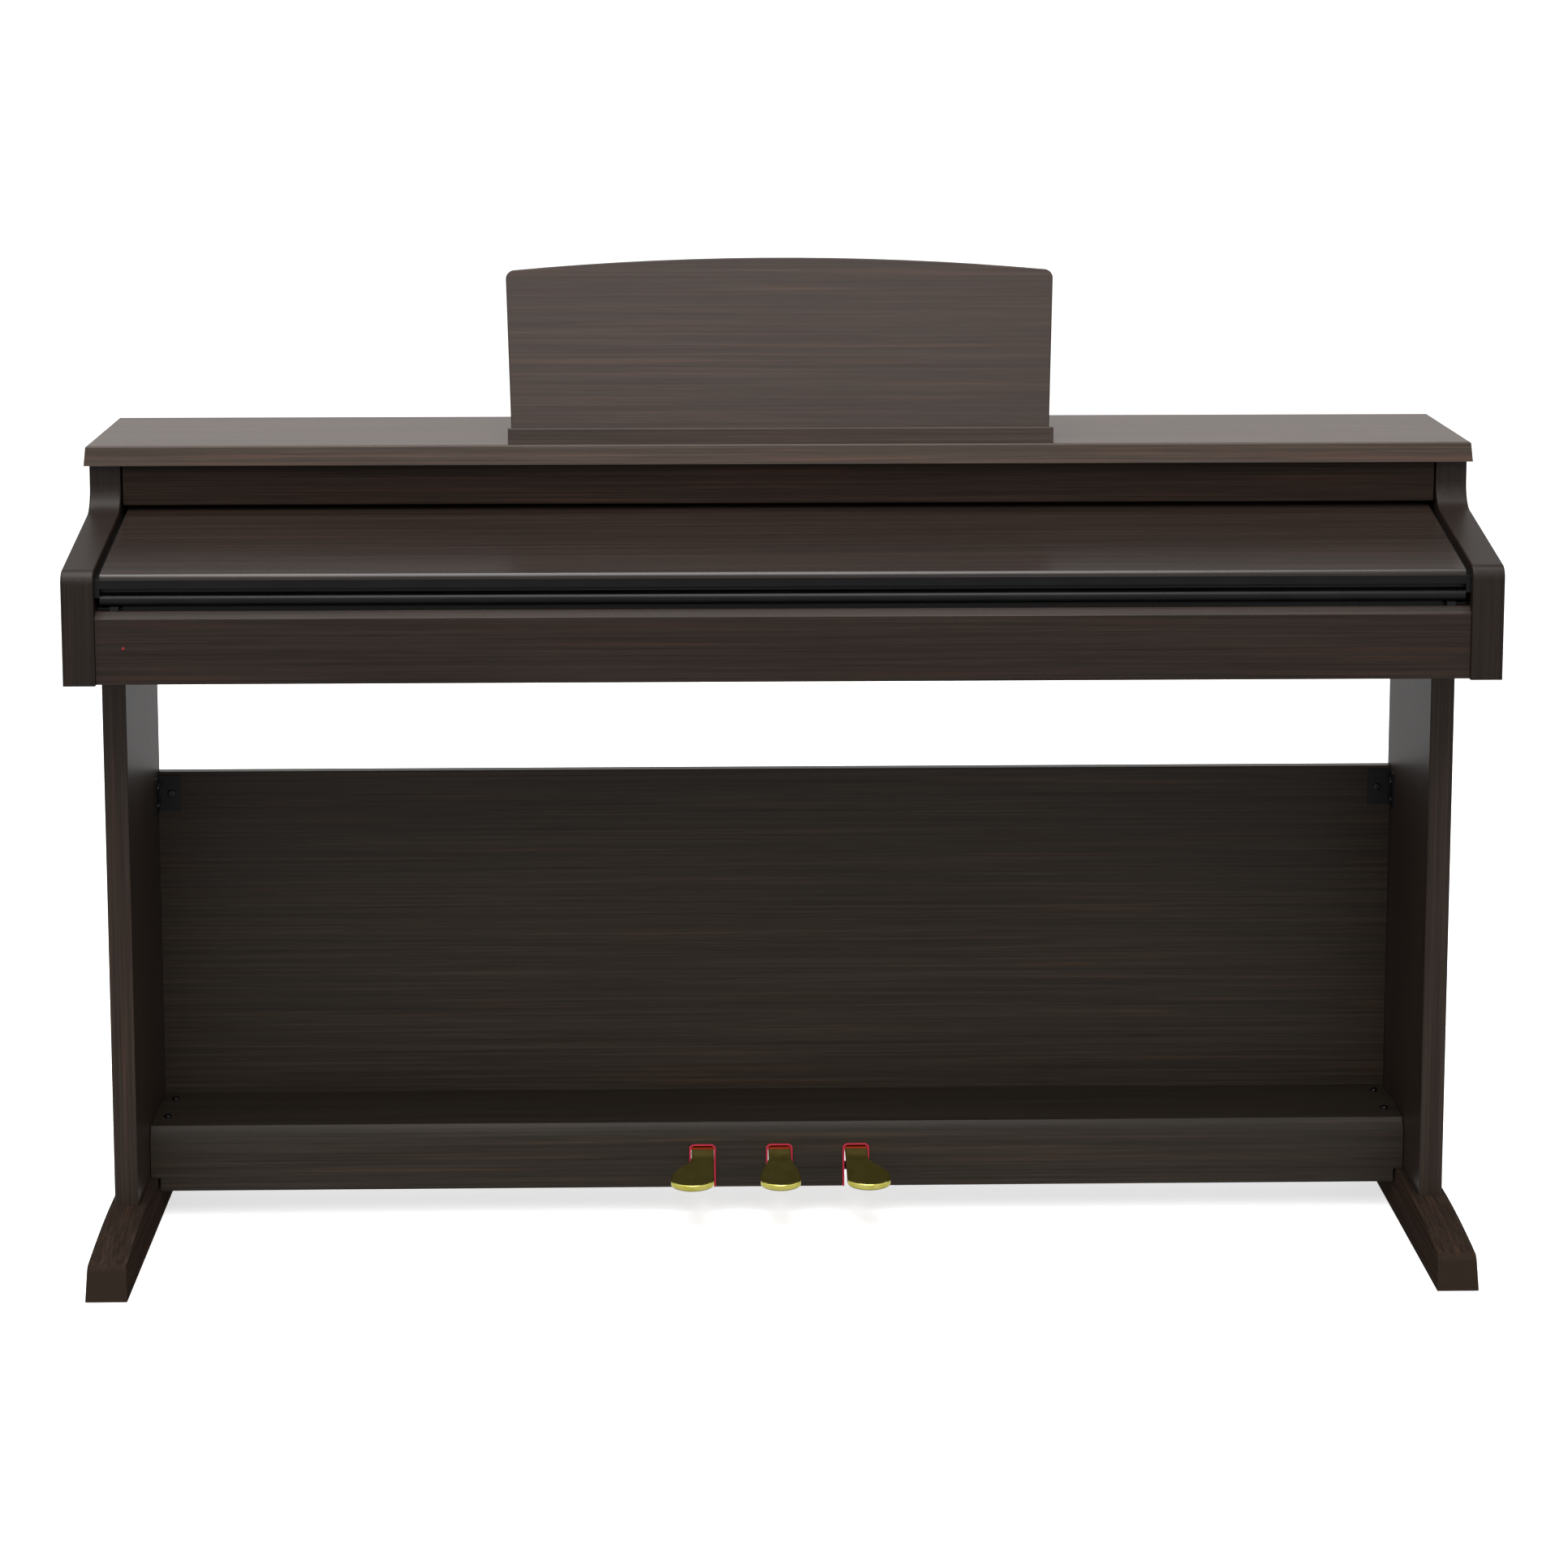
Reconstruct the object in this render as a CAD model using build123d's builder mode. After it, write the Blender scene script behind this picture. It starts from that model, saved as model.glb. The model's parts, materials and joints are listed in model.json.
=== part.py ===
from build123d import *
import os
from math import cos, radians, sin, tan

# Digital piano on a stand, in millimetres.
# +X is the player's right, -Y faces the player, +Z is up.
# The origin is on the floor, under the middle of the overall box.

os.makedirs("parts", exist_ok=True)

# Keyboard
white_count = 52
key_pitch = 23.5
key_gap = 1.0
white_length = 150.0
white_head = 50.0
black_width = 11.0
black_top_width = 9.4
black_gap = 0.9
black_rise = 11.0
black_front_slant = 5.0
black_back_slant = 1.0
key_height = 20.0
key_nose = 1.0
key_tail = 72.0
key_heel = 8.0
key_press_angle = 2.5
key_seat = 33.5
rod_radius = 2.0
support_thickness = 2.0
support_clearance = 0.75
support_reach = 9.0
frame_plate = 2.0
frame_margin = 4.0
stop_rail_setback = 7.0
stop_rail_width = 20.0
stop_felt_thickness = 2.0
stop_clearance = 0.6

# Clearances shared by many pieces
running_clearance = 0.05
board_clearance = 0.3
slide_clearance = 0.3
edge_soft = 1.5

# Case boards
key_block_width = 48.0
key_block_gap = 1.5
key_block_rise = 1.5
side_thickness = 31.0
slip_setback = 3.0
slip_thickness = 18.0
slip_drop = 0.8
slip_bevel_depth = 8.0
slip_bevel_height = 6.5
slip_lift = 1.0
key_front_gap = 2.0
fallboard_gap = 1.5
fallboard_thickness = 10.0
fallboard_lift = 2.0
fallboard_clearance = 2.0
fallboard_setback = 10.5
fallboard_felt_thickness = 1.4
fallboard_felt_proud = 0.8
shoulder_depth = 223.0
name_board_recess = 2.0
name_board_thickness = 14.0
name_board_height = 41.5
name_board_gap = 1.5
back_board_thickness = 12.0
bed_thickness = 18.0
top_thickness = 19.5
top_side_overhang = 4.0
top_front_overhang = 10.0
top_back_overhang = 2.0
top_edge_lean = 3.7
top_side_lean = 1.6
top_edge_round = 2.0

# Side panel arms
arm_rise = 4.4
arm_nose_radius = 13.0
arm_cove_radius = 26.0

# Key cover with its handle, runners and tracks
cover_slope = 10.0
cover_gap = 5.5
cover_setback = 8.0
cover_thickness = 5.5
cover_nose_radius = 4.0
cover_tuck = 11.0
cover_travel = 180.0
black_clearance = 1.9
white_clearance = 0.5
bar_setback = 10.0
bar_depth = 11.0
bar_height = 11.5
bar_round = 5.0
bar_back_round = 3.0
finger_gap = 6.0
finger_depth = 8.0
finger_cove = 2.5
lip_setback = 9.0
lip_height = 8.3
flange_depth = 26.0
flange_thickness = 3.0
slot_clearance = 3.2
runner_length = 30.0
runner_width = 13.0
runner_height = 10.5
runner_step = 3.5
runner_tongue = 3.7
runner_end_gap = 12.0
track_thickness = 4.8
track_drop = 6.0
track_foot = 6.0
track_front_gap = 8.0
track_end_room = 4.0

# Lamp, bumpers and rubber pads
lamp_radius = 1.5
lamp_inset = 27.0
lamp_height = 36.0
lamp_proud = 0.4
bumper_width = 8.0
bumper_depth = 6.0
bumper_inset = 18.0
bumper_gap = 0.3
seal_depth = 4.0
seal_setback = 1.0

# Controls on the key blocks
control_row = 110.0
power_radius = 6.5
function_radius = 5.0
button_height = 10.0
button_proud = 2.0
button_travel = 1.5
button_clearance = 0.3
button_rim = 0.6
slider_row = 50.0
slider_travel = 14.0
slider_width = 10.0
slider_length = 8.0
slider_height = 5.0
slider_stem_width = 2.4
slider_stem_depth = 8.0

# Electronics and sound
speaker_x = 430.0
speaker_flange_radius = 58.0
speaker_flange_thickness = 3.0
speaker_cone_radius = 46.0
speaker_throat_radius = 14.0
speaker_cone_depth = 24.0
speaker_wall = 3.0
speaker_magnet_radius = 32.0
speaker_magnet_height = 18.0
board_width = 300.0
board_depth = 100.0
board_thickness = 1.6
standoff_height = 6.0
standoff_radius = 4.0
standoff_inset = 8.0
chip_size = 28.0
chip_height = 4.0
chip_spacing = 56.0
connector_length = 60.0
connector_spacing = 90.0
connector_depth = 8.0
connector_height = 11.0
jack_x = -500.0
jack_lift = 52.0
jack_plate_width = 130.0
jack_plate_height = 52.0
jack_plate_thickness = 2.0
jack_plate_lap = 9.0
jack_spacing = 26.0
phone_radius = 3.25
phone_wall = 2.75
phone_length = 18.0
phone_floor = 2.0
inlet_radius = 2.9
inlet_pin_radius = 1.0
inlet_pin_gap = 2.0
pedal_socket_width = 14.0
pedal_socket_height = 9.0
pedal_socket_depth = 10.0
pedal_socket_wall = 2.5

# Stand
leg_height = 578.5
leg_thickness = 24.0
leg_inset = 7.5
leg_setback = 190.0
foot_height = 46.5
foot_front_setback = 32.0
foot_bottom_width = 41.6
foot_top_width = 37.4
foot_nose_height = 35.0
foot_nose_lean = 8.0
foot_nose_round = 9.0
foot_crown = 2.2
glide_radius = 11.0
glide_thickness = 3.0
glide_proud = 1.0
glide_inset = 26.0
panel_gap = 0.5
panel_thickness = 15.0
panel_setback = 1.0
panel_top = 454.0
rail_bottom = 33.0
rail_front_height = 54.3
rail_bevel_height = 14.0
rail_bevel_depth = 8.7
rail_thickness = 23.0
shelf_depth = 102.0
shelf_thickness = 16.0

# Pedals
pedal_spacing = 80.5
slot_width = 28.0
slot_drop = 7.9
slot_round = 5.0
felt_thickness = 1.6
felt_proud = 0.4
pedal_width = 23.4
pedal_thickness = 7.0
pedal_slot_gap = 1.2
pedal_reach = 87.0
pedal_slope = 9.0
pedal_bend = 2.0
pedal_bend_radius = 60.0
pad_length = 66.0
pad_round = 16.0
pad_half_width = 21.0
pad_lobe = 33.0
pad_edge = 1.5
pad_shoulder_along = 0.5
pad_shoulder_across = 0.57
pedal_pivot_setback = 72.0
pedal_tail = 10.0
pedal_pin_radius = 3.0
pedal_eye_radius = 5.0
bracket_plate = 2.0
bracket_gap = 1.0
bracket_wing = 16.0
bracket_front_setback = 15.0
bracket_back_reach = 12.0
spring_seat_drop = 29.0
spring_setback = 30.0
spring_radius = 6.0
spring_wire_radius = 0.7
spring_turns = 7
spring_end_gap = 0.1

# Angle brackets and screws of the stand
angle_thickness = 1.5
angle_height = 38.0
angle_flange = 24.0
angle_drop = 4.0
angle_hole_share = 0.6
panel_angle_holes = (0.25, 0.75)
leg_angle_length = 60.0
leg_angle_holes = (-15.0, 15.0)
leg_angle_flange = 28.0
leg_angle_setback = 25.0
screw_head_radius = 4.0
screw_head_height = 2.4
screw_head_round = 1.2
screw_shank_radius = 2.0
screw_length = 12.0
screw_recess = 1.3
screw_recess_width = 1.1
screw_recess_length = 4.4
shelf_screw_inset = 14.0
shelf_screw_front = 16.0
shelf_screw_back = 23.0

# Music rest
ledge_side_lap = 2.7
ledge_setback = 2.5
ledge_height = 16.0
ledge_lip = 8.0
ledge_lean = 2.0
ledge_base = 4.0
ledge_depth = 35.0
ledge_round = 1.5
rest_axis_setback = 25.0
rest_axis_lift = 11.5
rest_lean = 14.0
rest_thickness = 10.0
rest_foot = 3.5
rest_half_top = 276.2
rest_side_lean = 6.2
rest_side_height = 161.0
rest_crown = 13.0
rest_corner = 9.0
rest_edge = 1.5
hinge_inset = 80.0
hinge_width = 20.0
hinge_gap = 0.5
hinge_pin_radius = 2.0
hinge_pin_reach = 14.0
hinge_eye_radius = 3.3
hinge_stem = 6.0
hinge_notch = 5.0
hinge_skin = 1.2
stay_inset = 120.0
stay_pivot_height = 60.0
stay_pivot_offset = 2.5
stay_angle = 60.0
stay_width = 12.0
stay_thickness = 3.0
stay_eye_radius = 2.2
stay_pin_radius = 1.2
stay_side_gap = 0.4
stay_lug = 2.0
stay_lug_length = 8.0
stay_flange = 10.0
stay_flange_thickness = 1.0
pad_width = 16.0
pad_depth = 14.0
pad_thickness = 1.0
pad_clearance = 0.3

# Widths worked out from the keyboard outwards
half_keys = white_count * key_pitch / 2
inner_half = half_keys + key_block_width
body_half = inner_half + side_thickness
top_half = body_half + top_side_overhang
cover_half = inner_half - cover_gap
board_half = inner_half - board_clearance
block_inner = half_keys + key_block_gap
control_x = (block_inner + board_half) / 2
leg_outer = body_half - leg_inset
leg_inner = leg_outer - leg_thickness
stand_half = leg_inner - panel_gap

# Depths worked out from the front of the side panels backwards
keyboard_depth = slip_setback + slip_thickness + key_front_gap + white_length + fallboard_gap
shoulder_offset = keyboard_depth + fallboard_thickness + fallboard_setback
body_depth = shoulder_offset + shoulder_depth + top_back_overhang
front = -body_depth / 2
slip_front = front + slip_setback
slip_back = slip_front + slip_thickness
key_front = slip_back + key_front_gap
black_front = key_front + white_head
key_back = key_front + white_length
fallboard_front = key_back + fallboard_gap
fallboard_back = fallboard_front + fallboard_thickness
shoulder = front + shoulder_offset
name_front = shoulder + name_board_recess
name_back = name_front + name_board_thickness
case_back = shoulder + shoulder_depth
back_board_front = case_back - back_board_thickness
top_front = shoulder - top_front_overhang
top_back = case_back + top_back_overhang
pivot_y = key_back + key_tail
key_end = pivot_y + key_heel
leg_front = front + leg_setback
panel_back = case_back - panel_setback
panel_front = panel_back - panel_thickness
shelf_front = panel_front - shelf_depth
rail_front = shelf_front - rail_thickness
cover_front = front + cover_setback
cover_back = name_back + cover_tuck
bar_front = front + bar_setback
bar_back = bar_front + bar_depth
lip_front = front + lip_setback
frame_back = pivot_y + support_reach + frame_margin
speaker_y = (frame_back + back_board_front) / 2

# Heights worked out from the floor upwards
slope = tan(radians(cover_slope))
body_bottom = foot_height + leg_height
bed_top = body_bottom + bed_thickness
key_bottom = bed_top + key_seat
key_top = key_bottom + key_height
pivot_z = key_bottom + key_height / 2
block_top = key_top + key_block_rise
slip_top = key_top - slip_drop
handle_lift = max(white_clearance, black_rise + black_clearance - slope * (black_front - bar_back))
handle_bottom = key_top + handle_lift
bar_top = handle_bottom + bar_height
lip_bottom = bar_top + finger_gap
lip_top = lip_bottom + lip_height
cover_drop = cover_thickness / cos(radians(cover_slope))
rail_top = rail_bottom + rail_front_height + rail_bevel_height
pedal_top = rail_bottom + rail_front_height - slot_drop - felt_thickness - pedal_slot_gap
pedal_bottom = pedal_top - pedal_thickness
pedal_pivot_y = shelf_front + pedal_pivot_setback
pedal_pivot_z = (pedal_top + pedal_bottom) / 2
shelf_bottom = rail_top - shelf_thickness


def cover_under(y):
    """Height of the key cover's sloping underside at depth y."""
    return lip_top + slope * (y - lip_front)


def cover_top(y):
    """Height of the key cover's sloping top at depth y."""
    return cover_under(y) + cover_drop


def arm_top(y):
    """Height of the side panels' sloping arms at depth y."""
    return cover_top(y) + arm_rise


name_bottom = cover_top(name_back) + slot_clearance
body_top = name_bottom + name_board_height
top_surface = body_top + top_thickness
fallboard_bottom = key_top + fallboard_lift
fallboard_top = handle_bottom + slope * (fallboard_front - bar_back) - fallboard_clearance

# Music rest widths and places, on a plane that leans back with the panel
rest_half_bottom = rest_half_top - rest_side_lean
ledge_half = rest_half_bottom + ledge_side_lap
hinge_x = rest_half_bottom - hinge_inset
stay_x = rest_half_bottom - stay_inset
ledge_front = top_front + top_edge_lean + ledge_setback
rest_axis_y = ledge_front + rest_axis_setback
rest_axis_z = top_surface + rest_axis_lift
rest_up = Vector(0, sin(radians(rest_lean)), cos(radians(rest_lean)))
rest_out = Vector(0, -cos(radians(rest_lean)), sin(radians(rest_lean)))
rest_axis = Vector(0, rest_axis_y, rest_axis_z)
rest_plane = Plane(origin=rest_axis, x_dir=(1, 0, 0), z_dir=rest_out)
stay_offset = rest_thickness / 2 + stay_pivot_offset
stay_pivot = rest_axis + rest_up * stay_pivot_height - rest_out * stay_offset
stay_drop = stay_pivot.Z - top_surface - pad_thickness - pad_clearance - stay_thickness / 2
stay_length = stay_drop / sin(radians(stay_angle))
stay_foot = stay_pivot + Vector(0, cos(radians(stay_angle)), -sin(radians(stay_angle))) * stay_length


def block(x_range, y_range, z_range, mode=Mode.ADD):
    """A box between pairs of limits, for the part being built."""
    middle = [sum(pair) / 2 for pair in (x_range, y_range, z_range)]
    sizes = [abs(pair[1] - pair[0]) for pair in (x_range, y_range, z_range)]
    with Locations(tuple(middle)):
        Box(*sizes, mode=mode)


def spread(middle, half):
    """The two limits at half to either side of a middle."""
    return (middle - half, middle + half)


def write(part, name):
    """Label a finished sub-part and write its file."""
    part.label = name
    export_step(part, f"parts/{name}.step")


# Screw places: a point on the surface under the head, and the way the head looks
angle_top = panel_top - angle_drop
end_screw_x = stand_half - shelf_screw_inset
angle_face_x = leg_inner - angle_thickness
panel_screw_z = angle_top - angle_height / 2
leg_screw_y = panel_front - angle_hole_share * angle_flange
leg_screw_heights = [angle_top - share * angle_height for share in panel_angle_holes]
bed_screw_x = leg_inner - angle_hole_share * leg_angle_flange
leg_top_screw_z = body_bottom - angle_hole_share * leg_angle_flange
leg_angle_middles = (leg_front + leg_angle_setback + leg_angle_length / 2,
                     case_back - leg_angle_setback - leg_angle_length / 2)
leg_angle_depths = [middle + shift for middle in leg_angle_middles for shift in leg_angle_holes]
shelf_screw_depths = (shelf_front + shelf_screw_front, panel_front - shelf_screw_back)
panel_screws = []
leg_screws = []
shelf_screws = []
bed_screws = []
leg_top_screws = []
for sign in (-1, 1):
    panel_screws.append(((sign * end_screw_x, panel_front - angle_thickness, panel_screw_z), (0, -1, 0)))
    for z in leg_screw_heights:
        leg_screws.append(((sign * angle_face_x, leg_screw_y, z), (-sign, 0, 0)))
    for y in shelf_screw_depths:
        shelf_screws.append(((sign * end_screw_x, y, rail_top), (0, 0, 1)))
    for y in leg_angle_depths:
        bed_screws.append(((sign * bed_screw_x, y, body_bottom - angle_thickness), (0, 0, -1)))
        leg_top_screws.append(((sign * angle_face_x, y, leg_top_screw_z), (-sign, 0, 0)))
hole_radius = screw_shank_radius + running_clearance


def screw_frames(places):
    """Locations that stand on the given places, with Z the way the head looks."""
    return [Plane(origin=point, z_dir=way).location for point, way in places]


def screw_holes(places):
    """Cut the shank holes of the given screws from the part being built."""
    depth = screw_length + running_clearance
    with Locations(*screw_frames(places)):
        Cylinder(hole_radius, 2 * depth, mode=Mode.SUBTRACT)


# Side panels with their swept arms
for side, sign in (("left", -1), ("right", 1)):
    with BuildPart() as side_panel:
        with BuildSketch(Plane.YZ.offset(min(sign * inner_half, sign * body_half))) as profile:
            with BuildLine():
                Polyline(
                    (front, body_bottom),
                    (front, arm_top(front)),
                    (shoulder, arm_top(shoulder)),
                    (shoulder, body_top),
                    (case_back, body_top),
                    (case_back, body_bottom),
                    close=True,
                )
            make_face()
            fillet(profile.vertices().sort_by_distance((front, arm_top(front)))[0], arm_nose_radius)
            fillet(profile.vertices().sort_by_distance((shoulder, arm_top(shoulder)))[0], arm_cove_radius)
        extrude(amount=side_thickness)
        swept = side_panel.edges().filter_by(
            lambda e: e.center().Y < shoulder + edge_soft
            and e.center().Z > body_bottom + edge_soft
            and abs(e.tangent_at(0.5).X) < 0.5)
        fillet(swept, edge_soft)
    write(side_panel.part, f"side_panel_{side}")

# Top board, its front and side edges leaning in
with BuildPart() as top_board:
    with BuildSketch(Plane.XY.offset(body_top)):
        with Locations((0, (top_front + top_back) / 2)):
            Rectangle(2 * top_half, top_back - top_front)
    with BuildSketch(Plane.XY.offset(top_surface)):
        with Locations((0, (top_front + top_edge_lean + top_back) / 2)):
            Rectangle(2 * (top_half - top_side_lean), top_back - top_front - top_edge_lean)
    loft(ruled=True)
    rim = top_board.edges().group_by(Axis.Z)[-1].sort_by(Axis.Y)[:-1]
    fillet(rim, top_edge_round)
write(top_board.part, "top_board")

# Name board above the cover's slot
with BuildPart() as name_board:
    name_half = inner_half - name_board_gap
    block((-name_half, name_half), (name_front, name_back), (name_bottom, body_top))
    fillet(name_board.edges().filter_by(Axis.X).group_by(Axis.Z)[0], edge_soft)
write(name_board.part, "name_board")

# Key slip with its bevelled top edge and the lamp's hole
lamp_x = -(inner_half - lamp_inset)
lamp_z = body_bottom + lamp_height
with BuildPart() as key_slip:
    with BuildSketch(Plane.YZ.offset(-board_half)):
        with BuildLine():
            Polyline(
                (slip_front, body_bottom + slip_lift),
                (slip_front, slip_top - slip_bevel_height),
                (slip_front + slip_bevel_depth, slip_top),
                (slip_back, slip_top),
                (slip_back, body_bottom + slip_lift),
                close=True,
            )
        make_face()
    extrude(amount=2 * board_half)
    with Locations(Plane(origin=(lamp_x, slip_front, lamp_z), z_dir=(0, -1, 0)).location):
        Cylinder(lamp_radius + running_clearance, 4 * slip_thickness, mode=Mode.SUBTRACT)
write(key_slip.part, "key_slip")

# Power lamp: a light pipe with a domed end
with BuildPart() as power_lamp:
    with Locations(Plane(origin=(lamp_x, slip_front - lamp_proud, lamp_z), z_dir=(0, 1, 0)).location):
        Cylinder(lamp_radius, slip_thickness + lamp_proud, align=(Align.CENTER, Align.CENTER, Align.MIN))
    fillet(power_lamp.edges().group_by(Axis.Y)[0], lamp_proud)
write(power_lamp.part, "power_lamp")

# Key bed with the two speaker openings
with BuildPart() as key_bed:
    block((-board_half, board_half), (slip_back, back_board_front), (body_bottom, bed_top))
    with Locations(*[(sign * speaker_x, speaker_y, (body_bottom + bed_top) / 2) for sign in (-1, 1)]):
        Cylinder(speaker_cone_radius, 2 * bed_thickness, mode=Mode.SUBTRACT)
    screw_holes(bed_screws)
write(key_bed.part, "key_bed")

# Back board with the window of the jack plate
jack_z = body_bottom + jack_lift
jack_window_width = jack_plate_width - 2 * jack_plate_lap
jack_window_height = jack_plate_height - 2 * jack_plate_lap
with BuildPart() as back_board:
    block((-board_half, board_half), (back_board_front, case_back), (body_bottom, body_top))
    block(spread(jack_x, jack_window_width / 2), (back_board_front - edge_soft, case_back + edge_soft),
          spread(jack_z, jack_window_height / 2), mode=Mode.SUBTRACT)
write(back_board.part, "back_board")

# Fallboard standing behind the keys
with BuildPart() as fallboard:
    block((-board_half, board_half), (fallboard_front, fallboard_back), (fallboard_bottom, fallboard_top))
    fillet(fallboard.edges().filter_by(Axis.X).group_by(Axis.Z)[-1], edge_soft)
write(fallboard.part, "fallboard")

# Key frame: base plate, stop rail and the plates that hold the pivot rod
stop_front = key_front + stop_rail_setback
stop_top = key_bottom - tan(radians(key_press_angle)) * (pivot_y - stop_front) - stop_clearance
letters = [("A", "B", "C", "D", "E", "F", "G")[index % 7] for index in range(white_count)]
support_places = [-half_keys + index * key_pitch for index in range(white_count + 1)
                  if index in (0, white_count) or letters[index] in ("C", "F")]
with BuildPart() as key_frame:
    block((-half_keys, half_keys), (key_front + frame_margin, frame_back), (bed_top, bed_top + frame_plate))
    block((-half_keys, half_keys), (stop_front, stop_front + stop_rail_width),
          (bed_top, stop_top - stop_felt_thickness))
    for x in support_places:
        block(spread(x, support_thickness / 2), spread(pivot_y, support_reach),
              (bed_top, pivot_z + key_height / 2 - rod_radius))
    with Locations(Plane(origin=(0, pivot_y, pivot_z), z_dir=(1, 0, 0)).location):
        Cylinder(rod_radius + running_clearance, 2 * half_keys + 4 * support_thickness, mode=Mode.SUBTRACT)
write(key_frame.part, "key_frame")

# Pivot rod through every key
rod_half = half_keys + support_thickness / 2
with BuildPart() as key_pivot_rod:
    with Locations(Plane(origin=(0, pivot_y, pivot_z), z_dir=(1, 0, 0)).location):
        Cylinder(rod_radius, 2 * rod_half)
write(key_pivot_rod.part, "key_pivot_rod")

# Felt strips: the key stop and the line behind the keys
with BuildPart() as key_felts:
    block((-half_keys, half_keys), (stop_front, stop_front + stop_rail_width),
          (stop_top - stop_felt_thickness, stop_top))
    block((-half_keys, half_keys), (fallboard_front - fallboard_felt_proud, fallboard_back),
          (fallboard_bottom - fallboard_felt_thickness, fallboard_bottom))
write(key_felts.part, "key_felts")

# Keys. White tails share the room beside the black keys evenly within each group
group_of = {"C": (0, 3), "D": (1, 3), "E": (2, 3), "F": (0, 4), "G": (1, 4), "A": (2, 4), "B": (3, 4)}
black_slot = black_width + 2 * black_gap
support_half_room = support_thickness / 2 + support_clearance


def tail_width(size):
    """Width of each white tail in a group of so many white keys."""
    return (size * key_pitch - (size - 1) * black_slot) / size


def white_outline(index):
    """Plan of one white key, from its front left corner round to the left."""
    left = -half_keys + index * key_pitch
    right = left + key_pitch
    place, size = group_of[letters[index]]
    tail = tail_width(size)
    tail_left = left - place * key_pitch + place * (tail + black_slot)
    tail_right = tail_left + tail
    heel_left = tail_left
    heel_right = tail_right
    if place == 0 or index == 0:
        tail_left = left + key_gap / 2
        heel_left = left + support_half_room
    if place == size - 1 or index == white_count - 1:
        tail_right = right - key_gap / 2
        heel_right = right - support_half_room
    points = [
        (left + key_gap / 2, key_front),
        (right - key_gap / 2, key_front),
        (right - key_gap / 2, black_front - black_gap),
        (tail_right, black_front - black_gap),
        (tail_right, fallboard_front),
        (heel_right, fallboard_front),
        (heel_right, key_end),
        (heel_left, key_end),
        (heel_left, fallboard_front),
        (tail_left, fallboard_front),
        (tail_left, black_front - black_gap),
        (left + key_gap / 2, black_front - black_gap),
    ]
    return [point for point, after in zip(points, points[1:] + points[:1]) if point != after]


def black_middle(index):
    """Middle of the black key to the right of a white key."""
    place, size = group_of[letters[index]]
    group_left = -half_keys + index * key_pitch - place * key_pitch
    return group_left + (place + 1) * tail_width(size) + place * black_slot + black_slot / 2


for letter in sorted(group_of):
    with BuildPart() as white_keys:
        for index in range(white_count):
            if letters[index] == letter:
                with BuildSketch(Plane.XY.offset(key_bottom)):
                    with BuildLine():
                        Polyline(*white_outline(index), close=True)
                    make_face()
        extrude(amount=key_height)
        lips = white_keys.edges().filter_by(Axis.X).group_by(Axis.Y)[0].group_by(Axis.Z)[-1]
        chamfer(lips, key_nose)
        with Locations(Plane(origin=(0, pivot_y, pivot_z), z_dir=(1, 0, 0)).location):
            Cylinder(rod_radius + running_clearance, 4 * half_keys, mode=Mode.SUBTRACT)
    write(white_keys.part, f"keys_{letter.lower()}")

black_top_front = black_front + black_front_slant
black_top_back = key_back - black_back_slant
for letter in ("A", "C", "D", "F", "G"):
    middles = [black_middle(index) for index in range(white_count - 1) if letters[index] == letter]
    with BuildPart() as black_keys:
        for middle in middles:
            block(spread(middle, black_width / 2), (black_front, key_end), (key_bottom, key_top))
            with BuildSketch(Plane.XY.offset(key_top)):
                with Locations((middle, (black_front + key_back) / 2)):
                    Rectangle(black_width, key_back - black_front)
            with BuildSketch(Plane.XY.offset(key_top + black_rise)):
                with Locations((middle, (black_top_front + black_top_back) / 2)):
                    Rectangle(black_top_width, black_top_back - black_top_front)
            loft(ruled=True)
        with Locations(Plane(origin=(0, pivot_y, pivot_z), z_dir=(1, 0, 0)).location):
            Cylinder(rod_radius + running_clearance, 4 * half_keys, mode=Mode.SUBTRACT)
    write(black_keys.part, f"keys_{letter.lower()}_sharp")

# Key blocks with the holes of their controls
button_depth = button_height - button_proud
control_y = key_front + control_row
slider_y = key_front + slider_row
for side, sign in (("left", -1), ("right", 1)):
    radius = function_radius if sign < 0 else power_radius
    with BuildPart() as key_block:
        block((sign * block_inner, sign * board_half), (slip_back, fallboard_back), (bed_top, block_top))
        with Locations((sign * control_x, control_y, block_top)):
            Cylinder(radius + button_clearance, 2 * (button_depth + button_travel + button_clearance),
                     mode=Mode.SUBTRACT)
        if sign < 0:
            block(spread(-control_x, slider_stem_width / 2 + slide_clearance),
                  spread(slider_y, slider_length / 2 + slider_travel + slide_clearance),
                  (block_top - slider_stem_depth - slide_clearance, block_top + edge_soft),
                  mode=Mode.SUBTRACT)
    write(key_block.part, f"key_block_{side}")

# Push buttons
for name, x, radius in (("function_button", -control_x, function_radius),
                        ("power_button", control_x, power_radius)):
    with BuildPart() as button:
        with Locations((x, control_y, block_top - button_depth)):
            Cylinder(radius, button_height, align=(Align.CENTER, Align.CENTER, Align.MIN))
        chamfer(button.edges().group_by(Axis.Z)[-1], button_rim)
    write(button.part, name)

# Volume slider: a ribbed cap on a flat stem
with BuildPart() as volume_slider:
    block(spread(-control_x, slider_width / 2), spread(slider_y, slider_length / 2),
          (block_top + slide_clearance, block_top + slide_clearance + slider_height))
    chamfer(volume_slider.edges().group_by(Axis.Z)[-1], button_rim)
    block(spread(-control_x, slider_stem_width / 2), spread(slider_y, slider_length / 2),
          (block_top - slider_stem_depth, block_top + slide_clearance))
write(volume_slider.part, "volume_slider")

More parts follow.
